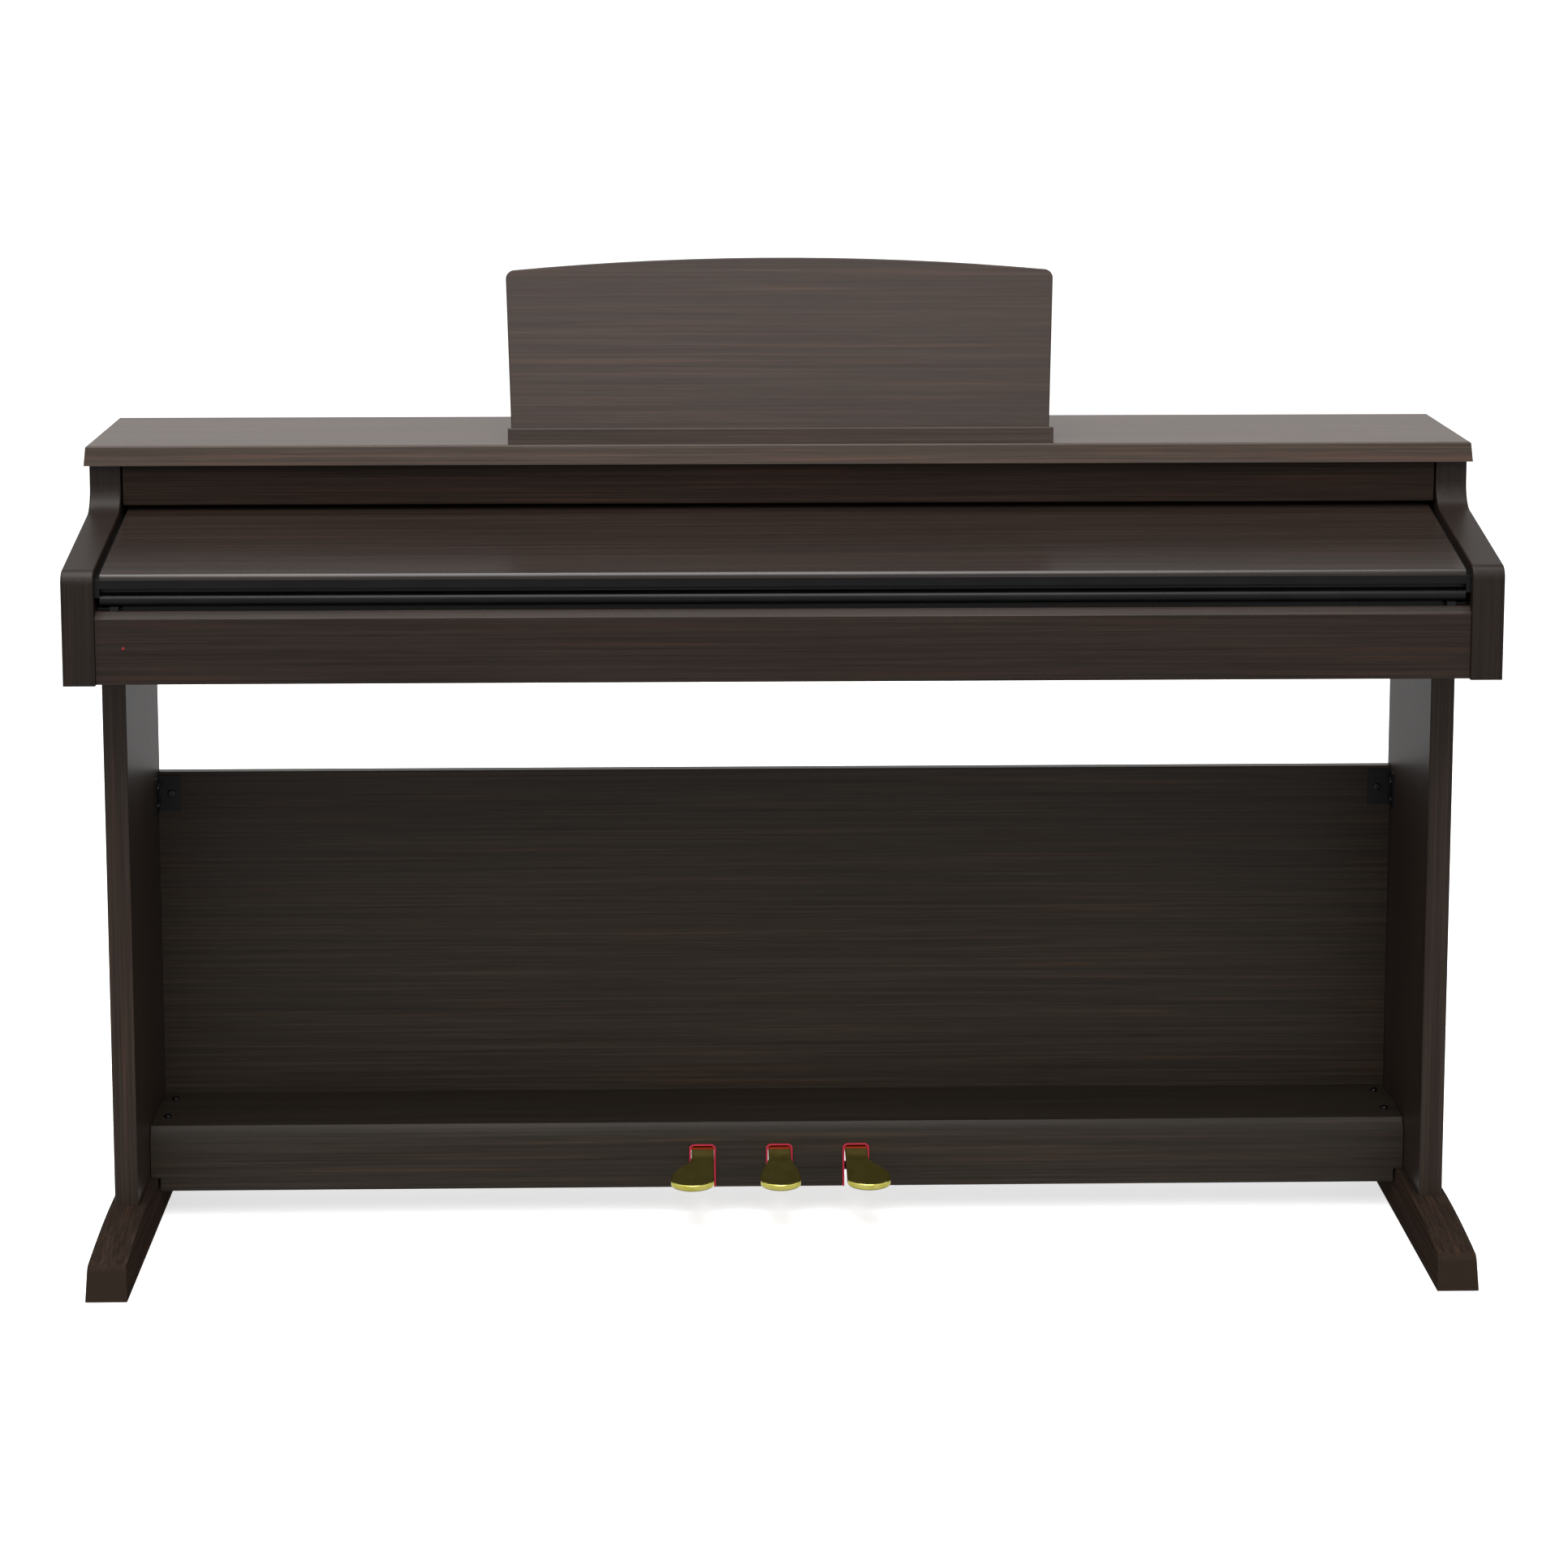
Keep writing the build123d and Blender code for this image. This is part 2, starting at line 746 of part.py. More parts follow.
# Sliding key cover
with BuildPart() as key_cover:
    with BuildSketch(Plane.YZ.offset(-cover_half)) as profile:
        with BuildLine():
            Polyline(
                (cover_front, cover_under(cover_front)),
                (cover_front, cover_top(cover_front)),
                (cover_back, cover_top(cover_back)),
                (cover_back, cover_under(cover_back)),
                close=True,
            )
        make_face()
        nose = (cover_front, cover_top(cover_front))
        fillet(profile.vertices().sort_by_distance(nose)[0], cover_nose_radius)
    extrude(amount=2 * cover_half)
write(key_cover.part, "key_cover")

# Handle extrusion: lip, finger channel and rounded bar
with BuildPart() as cover_handle:
    finger_back = bar_front + finger_depth
    flange_back = lip_front + flange_depth
    with BuildSketch(Plane.YZ.offset(-cover_half)) as profile:
        with BuildLine():
            Polyline(
                (lip_front, lip_top),
                (lip_front, lip_bottom),
                (finger_back, lip_bottom),
                (finger_back, bar_top),
                (bar_front, bar_top),
                (bar_front, handle_bottom),
                (bar_back, handle_bottom),
                (bar_back, cover_under(bar_back) - flange_thickness),
                (flange_back, cover_under(flange_back) - flange_thickness),
                (flange_back, cover_under(flange_back)),
                close=True,
            )
        make_face()
        for corner, radius in (((bar_front, bar_top), bar_round), ((bar_front, handle_bottom), bar_round),
                               ((bar_back, handle_bottom), bar_back_round),
                               ((finger_back, lip_bottom), finger_cove),
                               ((finger_back, bar_top), finger_cove)):
            fillet(profile.vertices().sort_by_distance(corner)[0], radius)
    extrude(amount=2 * cover_half)
write(cover_handle.part, "cover_handle")

# Runners under the cover's ends, with tongues that ride in the tracks
runner_front = lip_front + flange_depth + runner_end_gap
runner_back = cover_back - runner_length
with BuildPart() as cover_runners:
    for sign in (-1, 1):
        for start in (runner_front, runner_back):
            for rise, near, far in ((0.0, cover_half - runner_width, cover_half),
                                    (runner_step, cover_half, cover_half + runner_tongue)):
                with BuildSketch(Plane.YZ.offset(min(sign * near, sign * far))):
                    with BuildLine():
                        Polyline(
                            (start, cover_under(start) - rise),
                            (start + runner_length, cover_under(start + runner_length) - rise),
                            (start + runner_length, cover_under(start + runner_length) - runner_height),
                            (start, cover_under(start) - runner_height),
                            close=True,
                        )
                    make_face()
                extrude(amount=far - near)
write(cover_runners.part, "cover_runners")

# Grooved tracks on the side panels
track_front = front + track_front_gap
track_back = cover_back + cover_travel * cos(radians(cover_slope)) + track_end_room
groove_inner = inner_half - track_thickness
groove_outer = cover_half + runner_tongue + slide_clearance
with BuildPart() as cover_tracks:
    for sign in (-1, 1):
        with BuildSketch(Plane.YZ.offset(min(sign * groove_inner, sign * inner_half))):
            with BuildLine():
                Polyline(
                    (track_front, cover_top(track_front) - track_drop),
                    (track_back, cover_top(track_back) - track_drop),
                    (track_back, cover_under(track_back) - runner_height - track_foot),
                    (track_front, cover_under(track_front) - runner_height - track_foot),
                    close=True,
                )
            make_face()
        extrude(amount=track_thickness)
        groove_front = runner_front - slide_clearance
        groove_back = track_back - track_end_room + slide_clearance
        with BuildSketch(Plane.YZ.offset(min(sign * groove_inner, sign * groove_outer))):
            with BuildLine():
                Polyline(
                    (groove_front, cover_under(groove_front) - runner_step + slide_clearance),
                    (groove_back, cover_under(groove_back) - runner_step + slide_clearance),
                    (groove_back, cover_under(groove_back) - runner_height - slide_clearance),
                    (groove_front, cover_under(groove_front) - runner_height - slide_clearance),
                    close=True,
                )
            make_face()
        extrude(amount=groove_outer - groove_inner, mode=Mode.SUBTRACT)
write(cover_tracks.part, "cover_tracks")

# Speakers facing down through the key bed
for side, sign in (("left", -1), ("right", 1)):
    with BuildPart() as speaker:
        with BuildSketch(Plane.XZ):
            with BuildLine():
                Polyline(
                    (0, speaker_cone_depth - speaker_throat_radius / 2),
                    (speaker_throat_radius, speaker_cone_depth),
                    (speaker_cone_radius - speaker_wall, 0),
                    (speaker_flange_radius, 0),
                    (speaker_flange_radius, speaker_flange_thickness),
                    (speaker_cone_radius, speaker_flange_thickness),
                    (speaker_throat_radius + speaker_wall, speaker_cone_depth + speaker_wall),
                    (speaker_magnet_radius, speaker_cone_depth + speaker_wall),
                    (speaker_magnet_radius, speaker_cone_depth + speaker_wall + speaker_magnet_height),
                    (0, speaker_cone_depth + speaker_wall + speaker_magnet_height),
                    close=True,
                )
            make_face()
        revolve(axis=Axis.Z)
    write(speaker.part.moved(Location((sign * speaker_x, speaker_y, bed_top))), f"speaker_{side}")

# Main circuit board on its standoffs
with BuildPart() as main_circuit_board:
    board_bottom = bed_top + standoff_height
    board_top = board_bottom + board_thickness
    block(spread(0, board_width / 2), spread(speaker_y, board_depth / 2), (board_bottom, board_top))
    with Locations((0, speaker_y, bed_top)):
        with GridLocations(board_width - 2 * standoff_inset, board_depth - 2 * standoff_inset, 2, 2):
            Cylinder(standoff_radius, standoff_height, align=(Align.CENTER, Align.CENTER, Align.MIN))
    with Locations((0, speaker_y, board_top)):
        with GridLocations(chip_spacing, 0, 3, 1):
            Box(chip_size, chip_size, chip_height, align=(Align.CENTER, Align.CENTER, Align.MIN))
    with Locations((0, speaker_y + board_depth / 2 - connector_depth, board_top)):
        with GridLocations(connector_spacing, 0, 3, 1):
            Box(connector_length, connector_depth, connector_height,
                align=(Align.CENTER, Align.CENTER, Align.MIN))
write(main_circuit_board.part, "main_circuit_board")

# Jack plate: two phone sockets, a power inlet and the pedal socket
jack_plane = Plane(origin=(jack_x, case_back, jack_z), x_dir=(-1, 0, 0), z_dir=(0, 1, 0))
jack_places = [(place - 1.5) * jack_spacing for place in range(4)]
phone_outer = phone_radius + phone_wall
with BuildPart() as jack_plate:
    with BuildSketch(jack_plane):
        Rectangle(jack_plate_width, jack_plate_height)
    extrude(amount=jack_plate_thickness)
    with BuildSketch(jack_plane):
        with Locations((jack_places[0], 0), (jack_places[1], 0), (jack_places[2], 0)):
            Circle(phone_outer)
        with Locations((jack_places[3], 0)):
            Rectangle(pedal_socket_width + 2 * pedal_socket_wall,
                      pedal_socket_height + 2 * pedal_socket_wall)
    extrude(amount=-phone_length)
    jack_face = jack_plane.offset(jack_plate_thickness)
    with BuildSketch(jack_face):
        with Locations((jack_places[0], 0), (jack_places[1], 0)):
            Circle(phone_radius)
        with Locations((jack_places[2], 0)):
            Circle(inlet_radius)
    extrude(amount=-(phone_length + jack_plate_thickness - phone_floor), mode=Mode.SUBTRACT)
    with BuildSketch(jack_face):
        with Locations((jack_places[3], 0)):
            Rectangle(pedal_socket_width, pedal_socket_height)
    extrude(amount=-pedal_socket_depth, mode=Mode.SUBTRACT)
    with BuildSketch(jack_face.offset(-inlet_pin_gap)):
        with Locations((jack_places[2], 0)):
            Circle(inlet_pin_radius)
    extrude(amount=-(phone_length + jack_plate_thickness - inlet_pin_gap))
write(jack_plate.part, "jack_plate")

# Legs
for side, sign in (("left", -1), ("right", 1)):
    with BuildPart() as leg:
        block((sign * leg_inner, sign * leg_outer), (leg_front, case_back), (foot_height, body_bottom))
        fillet(leg.edges().filter_by(Axis.Z).group_by(Axis.Y)[0], edge_soft)
        screw_holes(leg_screws + leg_top_screws)
    write(leg.part, f"leg_{side}")

# Feet: a rising top, rounded nose and drafted sides, with seats for the glides
foot_front = front + foot_front_setback
foot_middle = body_half - foot_bottom_width / 2
glide_places = (foot_front + foot_nose_lean + glide_inset, case_back - glide_inset)
for side, sign in (("left", -1), ("right", 1)):
    with BuildPart() as foot:
        with BuildSketch(Plane.YZ.offset(sign * foot_middle - foot_bottom_width / 2)) as profile:
            rise_middle = (foot_front + foot_nose_lean + leg_front) / 2
            with BuildLine():
                Line((foot_front, glide_proud), (foot_front + foot_nose_lean, foot_nose_height))
                ThreePointArc((foot_front + foot_nose_lean, foot_nose_height),
                              (rise_middle, (foot_nose_height + foot_height) / 2 + foot_crown),
                              (leg_front, foot_height))
                Polyline((leg_front, foot_height), (case_back, foot_height), (case_back, glide_proud),
                         (foot_front, glide_proud))
            make_face()
            nose = (foot_front + foot_nose_lean, foot_nose_height)
            fillet(profile.vertices().sort_by_distance(nose)[0], foot_nose_round)
        extrude(amount=foot_bottom_width)
        with BuildSketch(Plane.XZ.offset(-case_back)):
            with BuildLine():
                Polyline(
                    (sign * foot_middle - foot_bottom_width / 2, glide_proud),
                    (sign * foot_middle - foot_top_width / 2, foot_height),
                    (sign * foot_middle + foot_top_width / 2, foot_height),
                    (sign * foot_middle + foot_bottom_width / 2, glide_proud),
                    close=True,
                )
            make_face()
        extrude(amount=case_back - foot_front, mode=Mode.INTERSECT)
        with Locations(*[(sign * foot_middle, y, glide_thickness) for y in glide_places]):
            Cylinder(glide_radius + running_clearance, 2 * (glide_thickness - glide_proud),
                     mode=Mode.SUBTRACT)
    write(foot.part, f"foot_{side}")

# Glides under the feet
with BuildPart() as foot_glides:
    with Locations(*[(sign * foot_middle, y, 0) for sign in (-1, 1) for y in glide_places]):
        Cylinder(glide_radius, glide_thickness, align=(Align.CENTER, Align.CENTER, Align.MIN))
write(foot_glides.part, "foot_glides")

# Back panel of the stand, its lower corners notched to pass the feet
notch_inner = body_half - foot_bottom_width - board_clearance
notch_top = foot_height + board_clearance


def foot_notches(y_range):
    """Cut the room for both feet from the board being built."""
    for sign in (-1, 1):
        block((sign * notch_inner, sign * body_half), y_range, (0, notch_top), mode=Mode.SUBTRACT)


with BuildPart() as back_panel:
    block((-stand_half, stand_half), (panel_front, panel_back), (rail_bottom, panel_top))
    fillet(back_panel.edges().filter_by(Axis.X).group_by(Axis.Z)[-1], edge_soft)
    foot_notches((panel_front, panel_back))
    screw_holes(panel_screws)
write(back_panel.part, "back_panel")

# Pedal rail: bevelled front board with three slots open at the bottom
slot_top = rail_bottom + rail_front_height - slot_drop
slot_places = [place * pedal_spacing for place in (-1, 0, 1)]
with BuildPart() as pedal_rail:
    with BuildSketch(Plane.YZ.offset(-stand_half)):
        with BuildLine():
            Polyline(
                (rail_front, rail_bottom),
                (rail_front, rail_top - rail_bevel_height),
                (rail_front + rail_bevel_depth, rail_top),
                (shelf_front, rail_top),
                (shelf_front, rail_bottom),
                close=True,
            )
        make_face()
    extrude(amount=2 * stand_half)
    for x in slot_places:
        with BuildSketch(Plane.XZ.offset(-rail_front)) as slot:
            with Locations((x, (rail_bottom + slot_top) / 2)):
                Rectangle(slot_width, slot_top - rail_bottom)
            fillet(slot.vertices().group_by(Axis.Y)[-1], slot_round)
        extrude(amount=-rail_thickness, mode=Mode.SUBTRACT)
    foot_notches((rail_front, shelf_front))
write(pedal_rail.part, "pedal_rail")

# Felt liners in the pedal slots
with BuildPart() as pedal_felts:
    for x in slot_places:
        with BuildSketch(Plane.XZ.offset(-(rail_front - felt_proud))) as liner:
            with Locations((x, (rail_bottom + slot_top) / 2)):
                Rectangle(slot_width, slot_top - rail_bottom)
            fillet(liner.vertices().group_by(Axis.Y)[-1], slot_round)
        extrude(amount=-(rail_thickness + felt_proud))
    for x in slot_places:
        with BuildSketch(Plane.XZ.offset(-(rail_front - felt_proud))) as hollow:
            with Locations((x, (rail_bottom + slot_top - felt_thickness) / 2)):
                Rectangle(slot_width - 2 * felt_thickness, slot_top - felt_thickness - rail_bottom)
            fillet(hollow.vertices().group_by(Axis.Y)[-1], slot_round - felt_thickness)
        extrude(amount=-(rail_thickness + felt_proud), mode=Mode.SUBTRACT)
write(pedal_felts.part, "pedal_felts")

# Shelf behind the pedal rail
with BuildPart() as pedal_shelf:
    block((-stand_half, stand_half), (shelf_front, panel_front), (shelf_bottom, rail_top))
    screw_holes(shelf_screws)
write(pedal_shelf.part, "pedal_shelf")

# Pedals: a shaped pad on a lever that turns on the bracket's pin
pedal_tip = rail_front - pedal_reach
pad_heel = pedal_tip + pad_length
pad_back = pedal_tip + pad_round
pad_shoulder_y = pad_back + pad_shoulder_along * (pad_heel - pad_back)
pedal_end = pedal_pivot_y + pedal_tail
bend_y = rail_front - pedal_bend
tip_drop = tan(radians(pedal_slope)) * (bend_y - pedal_tip + edge_soft)
pad_neck = pedal_width / 2

for name, x, hand in (("pedal_soft", slot_places[0], -1), ("pedal_sostenuto", slot_places[1], 0),
                      ("pedal_damper", slot_places[2], 1)):
    left = x - (pad_neck if hand > 0 else pad_lobe if hand < 0 else pad_half_width)
    right = x + (pad_neck if hand < 0 else pad_lobe if hand > 0 else pad_half_width)
    with BuildPart() as pedal:
        with BuildSketch(Plane.XY.offset(rail_bottom)):
            with BuildLine():
                EllipticalCenterArc(((left + right) / 2, pad_back), (right - left) / 2, pad_round, 180,
                                    arc_size=180)
                for reach, neck in ((left, x - pad_neck), (right, x + pad_neck)):
                    if reach == neck:
                        Line((reach, pad_back), (neck, pad_heel))
                    else:
                        pad_shoulder = (neck + pad_shoulder_across * (reach - neck), pad_shoulder_y)
                        Spline((reach, pad_back), pad_shoulder, (neck, pad_heel),
                               tangents=((0, 1), (0, 1)))
                    Line((neck, pad_heel), (neck, pedal_end))
                Line((x - pad_neck, pedal_end), (x + pad_neck, pedal_end))
            make_face()
        extrude(amount=rail_top - rail_bottom)
        with BuildSketch(Plane.YZ.offset(x - 2 * pad_lobe)) as profile:
            with BuildLine():
                Polyline(
                    (pedal_tip - edge_soft, pedal_top - tip_drop),
                    (bend_y, pedal_top),
                    (pedal_end + edge_soft, pedal_top),
                    (pedal_end + edge_soft, pedal_bottom),
                    (bend_y, pedal_bottom),
                    (pedal_tip - edge_soft, pedal_bottom - tip_drop),
                    close=True,
                )
            make_face()
            bends = profile.vertices().sort_by_distance((bend_y, pedal_pivot_z))[:2]
            fillet(bends, pedal_bend_radius)
        extrude(amount=4 * pad_lobe, mode=Mode.INTERSECT)
        long_edges = pedal.edges().filter_by(Axis.Z, reverse=True)
        fillet(long_edges.filter_by(lambda e: e.center().Y < pedal_pivot_y), pad_edge)
        with Locations(Plane(origin=(x, pedal_pivot_y, pedal_pivot_z), z_dir=(1, 0, 0)).location):
            Cylinder(pedal_eye_radius, pedal_width)
            Cylinder(pedal_pin_radius + running_clearance, 2 * pedal_width, mode=Mode.SUBTRACT)
    write(pedal.part, name)

# Pedal bracket: a channel with a pivot pin and a spring seat for each pedal
channel_inner = pedal_width / 2 + bracket_gap
channel_outer = channel_inner + bracket_plate
channel_front = shelf_front + bracket_front_setback
channel_back = pedal_pivot_y + bracket_back_reach
seat_top = pedal_bottom - spring_seat_drop
spring_y = shelf_front + spring_setback
with BuildPart() as pedal_bracket:
    block(spread(0, pedal_spacing + channel_outer + bracket_wing), (channel_front, channel_back),
          (shelf_bottom - bracket_plate, shelf_bottom))
    for x in slot_places:
        for sign in (-1, 1):
            block((x + sign * channel_inner, x + sign * channel_outer), (channel_front, channel_back),
                  (seat_top - bracket_plate, shelf_bottom))
        block(spread(x, channel_outer), (channel_front, spring_y + spring_radius + bracket_plate),
              (seat_top - bracket_plate, seat_top))
        with Locations(Plane(origin=(x, pedal_pivot_y, pedal_pivot_z), z_dir=(1, 0, 0)).location):
            Cylinder(pedal_pin_radius, 2 * channel_outer)
write(pedal_bracket.part, "pedal_bracket")

# Return springs under the pedal levers
spring_height = spring_seat_drop - 2 * spring_wire_radius - 2 * spring_end_gap
with BuildPart() as spring:
    with BuildLine() as coil:
        Helix(pitch=spring_height / spring_turns, height=spring_height, radius=spring_radius)
    with BuildSketch(Plane(origin=coil.line @ 0, z_dir=coil.line % 0)):
        Circle(spring_wire_radius)
    sweep()
with BuildPart() as pedal_springs:
    with Locations(*[(x, spring_y, seat_top + spring_wire_radius + spring_end_gap) for x in slot_places]):
        add(spring.part)
write(pedal_springs.part, "pedal_springs")

# Angle brackets: at the back panel's top corners, and at the top of the legs
with BuildPart() as stand_brackets:
    angle_z = (angle_top - angle_height, angle_top)
    for sign in (-1, 1):
        block((sign * (stand_half - angle_flange), sign * leg_inner),
              (panel_front - angle_thickness, panel_front), angle_z)
        block((sign * angle_face_x, sign * leg_inner), (panel_front - angle_flange, panel_front), angle_z)
        for middle in leg_angle_middles:
            run = spread(middle, leg_angle_length / 2)
            block((sign * (leg_inner - leg_angle_flange), sign * leg_inner), run,
                  (body_bottom - angle_thickness, body_bottom))
            block((sign * angle_face_x, sign * leg_inner), run,
                  (body_bottom - leg_angle_flange, body_bottom))
    screw_holes(panel_screws + leg_screws + bed_screws + leg_top_screws)
write(stand_brackets.part, "stand_brackets")

# Pan-head screws with a cross recess
with BuildPart() as screw:
    Cylinder(screw_head_radius, screw_head_height, align=(Align.CENTER, Align.CENTER, Align.MIN))
    fillet(screw.edges().group_by(Axis.Z)[-1], screw_head_round)
    Cylinder(screw_shank_radius, screw_length, align=(Align.CENTER, Align.CENTER, Align.MAX))
    with Locations((0, 0, screw_head_height)):
        Box(screw_recess_length, screw_recess_width, 2 * screw_recess, mode=Mode.SUBTRACT)
        Box(screw_recess_width, screw_recess_length, 2 * screw_recess, mode=Mode.SUBTRACT)
with BuildPart() as stand_screws:
    with Locations(*screw_frames(panel_screws + leg_screws + shelf_screws + bed_screws + leg_top_screws)):
        add(screw.part)
write(stand_screws.part, "stand_screws")

# Music rest ledge
with BuildPart() as rest_ledge:
    with BuildSketch(Plane.YZ.offset(-ledge_half)):
        with BuildLine():
            Polyline(
                (ledge_front, top_surface),
                (ledge_front + ledge_lean, top_surface + ledge_height),
                (ledge_front + ledge_lip, top_surface + ledge_height),
                (ledge_front + ledge_lip, top_surface + ledge_base),
                (ledge_front + ledge_depth, top_surface + ledge_base),
                (ledge_front + ledge_depth, top_surface),
                close=True,
            )
        make_face()
    extrude(amount=2 * ledge_half)
    fillet(rest_ledge.edges().filter_by(Axis.X).group_by(Axis.Z)[-1], ledge_round)
write(rest_ledge.part, "rest_ledge")

# Music rest hinges: a lug with a pin that reaches into the panel on both sides
with BuildPart() as rest_hinges:
    for sign in (-1, 1):
        block(spread(sign * hinge_x, hinge_width / 2), spread(rest_axis_y, hinge_stem / 2),
              (top_surface + ledge_base, rest_axis_z))
        with Locations(Plane(origin=(sign * hinge_x, rest_axis_y, rest_axis_z), z_dir=(1, 0, 0)).location):
            Cylinder(hinge_eye_radius, hinge_width)
            Cylinder(hinge_pin_radius, hinge_width + 2 * hinge_pin_reach)
write(rest_hinges.part, "rest_hinges")

# Music rest panel with its arched top, recessed from behind for the hinges
with BuildPart() as rest_panel:
    with BuildSketch(rest_plane) as face:
        with BuildLine():
            Polyline((-rest_half_top, rest_side_height), (-rest_half_bottom, -rest_foot),
                     (rest_half_bottom, -rest_foot), (rest_half_top, rest_side_height))
            ThreePointArc((rest_half_top, rest_side_height), (0, rest_side_height + rest_crown),
                          (-rest_half_top, rest_side_height))
        make_face()
        for sign in (-1, 1):
            corner = (sign * rest_half_top, rest_side_height)
            fillet(face.vertices().sort_by_distance(corner)[0], rest_corner)
    extrude(amount=rest_thickness / 2, both=True)
    outline = rest_panel.edges().filter_by(
        lambda e: abs((e.center() - rest_axis).dot(rest_out)) > rest_thickness / 4
        and (e.center() - rest_axis).dot(rest_up) > 0)
    fillet(outline, rest_edge)
    for sign in (-1, 1):
        with BuildSketch(rest_plane.offset(rest_thickness / 2 - hinge_skin)):
            with Locations((sign * hinge_x, 0)):
                Rectangle(hinge_width + 2 * hinge_gap, 2 * hinge_notch)
        extrude(amount=-rest_thickness, mode=Mode.SUBTRACT)
        with Locations(Plane(origin=(sign * hinge_x, rest_axis_y, rest_axis_z), z_dir=(1, 0, 0)).location):
            Cylinder(hinge_pin_radius + running_clearance,
                     hinge_width + 2 * hinge_pin_reach + 2 * hinge_gap, mode=Mode.SUBTRACT)
write(rest_panel.part, "rest_panel")

# Brackets on the panel's back that carry the stays
rest_back = -rest_thickness / 2
lug_near = stay_width / 2 + stay_side_gap
lug_far = lug_near + stay_lug
with BuildPart() as stay_brackets:
    for sign in (-1, 1):
        for hand in (-1, 1):
            for near, far, height in ((lug_near, lug_far, stay_pivot_offset + stay_eye_radius),
                                      (lug_far, lug_far + stay_flange, stay_flange_thickness)):
                with BuildSketch(rest_plane.offset(rest_back)):
                    with Locations((sign * stay_x + hand * (near + far) / 2, stay_pivot_height)):
                        Rectangle(far - near, stay_lug_length)
                extrude(amount=-height)
        with Locations(Plane(origin=stay_pivot + Vector(sign * stay_x, 0, 0), z_dir=(1, 0, 0)).location):
            Cylinder(stay_pin_radius, 2 * lug_far)
write(stay_brackets.part, "stay_brackets")

# Folding stays that stand on the top board
for side, sign in (("left", -1), ("right", 1)):
    stay_plane = Plane(origin=stay_pivot + Vector(sign * stay_x - stay_width / 2, 0, 0),
                       x_dir=stay_foot - stay_pivot, z_dir=(1, 0, 0))
    with BuildPart() as stay:
        with BuildSketch(stay_plane):
            with Locations((stay_length / 2, 0)):
                Rectangle(stay_length, stay_thickness)
            with Locations((stay_length, 0)):
                Circle(stay_thickness / 2)
            Circle(stay_eye_radius)
            Circle(stay_pin_radius + running_clearance, mode=Mode.SUBTRACT)
        extrude(amount=stay_width)
    write(stay.part, f"rest_stay_{side}")

# Rubber pads: under the stays' feet, and on the slip two bumpers and a seal under the cover's handle
bumper_x = inner_half - bumper_inset
seal_half = bumper_x - bumper_width
seal_back = slip_back - seal_setback
with BuildPart() as rubber_pads:
    for sign in (-1, 1):
        block(spread(sign * stay_x, pad_width / 2), spread(stay_foot.Y, pad_depth / 2),
              (top_surface, top_surface + pad_thickness))
        block(spread(sign * bumper_x, bumper_width / 2),
              (slip_front + slip_bevel_depth, slip_front + slip_bevel_depth + bumper_depth),
              (slip_top, handle_bottom - bumper_gap))
    block((-seal_half, seal_half), (seal_back - seal_depth, seal_back),
          (slip_top, handle_bottom - bumper_gap))
write(rubber_pads.part, "rubber_pads")
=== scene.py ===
"""Looks of a console digital piano on its stand.

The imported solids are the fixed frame. Each sub-assembly is a class that dresses its solids with
procedural finishes and adds the fittings that the solids leave out. Lengths are in metres.
"""

from __future__ import annotations

import json
import logging
import math
from collections.abc import Iterable, Sequence
from dataclasses import dataclass
from enum import Enum
from typing import Protocol

import bmesh
import bpy
from mathutils import Matrix, Vector

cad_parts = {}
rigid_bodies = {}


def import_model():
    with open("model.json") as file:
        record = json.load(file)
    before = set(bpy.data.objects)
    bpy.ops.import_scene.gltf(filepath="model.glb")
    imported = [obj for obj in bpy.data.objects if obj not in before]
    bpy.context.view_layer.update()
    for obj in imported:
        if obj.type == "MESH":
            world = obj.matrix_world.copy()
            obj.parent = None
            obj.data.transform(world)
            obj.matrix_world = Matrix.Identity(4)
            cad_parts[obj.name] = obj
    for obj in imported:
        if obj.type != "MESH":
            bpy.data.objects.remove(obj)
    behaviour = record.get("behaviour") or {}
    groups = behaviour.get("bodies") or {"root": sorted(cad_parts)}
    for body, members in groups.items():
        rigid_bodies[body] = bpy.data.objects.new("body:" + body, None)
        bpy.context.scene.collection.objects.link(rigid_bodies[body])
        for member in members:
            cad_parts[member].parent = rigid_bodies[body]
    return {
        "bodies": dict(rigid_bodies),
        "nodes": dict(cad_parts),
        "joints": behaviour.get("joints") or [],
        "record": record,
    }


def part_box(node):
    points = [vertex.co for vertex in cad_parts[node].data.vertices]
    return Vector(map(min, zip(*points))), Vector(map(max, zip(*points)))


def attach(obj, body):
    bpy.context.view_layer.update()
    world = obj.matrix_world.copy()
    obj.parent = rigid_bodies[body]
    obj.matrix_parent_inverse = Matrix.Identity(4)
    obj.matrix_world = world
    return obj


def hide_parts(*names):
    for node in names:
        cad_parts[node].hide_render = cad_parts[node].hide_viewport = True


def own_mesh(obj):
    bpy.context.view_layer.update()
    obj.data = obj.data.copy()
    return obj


LOG = logging.getLogger("piano")
MM = 0.001

Triple = tuple[float, float, float]
Colour = tuple[float, float, float]
Span = tuple[float, float]
Extras = tuple[tuple[str, object], ...]
Socket = bpy.types.NodeSocket
Node = bpy.types.Node
Material = bpy.types.Material
Mesh = bpy.types.Mesh
Thing = bpy.types.Object
Work = bmesh.types.BMesh
Corner = bmesh.types.BMVert

ORIGIN: Triple = (0.0, 0.0, 0.0)
NO_GLOW: Colour = (0.0, 0.0, 0.0)
TURN_BACK = Vector((-math.pi / 2, 0.0, 0.0))

# Corners closer than this are one corner, and faces within this angle are one face.
WELD = 0.002 * MM
FLAT_ANGLE = math.radians(0.4)

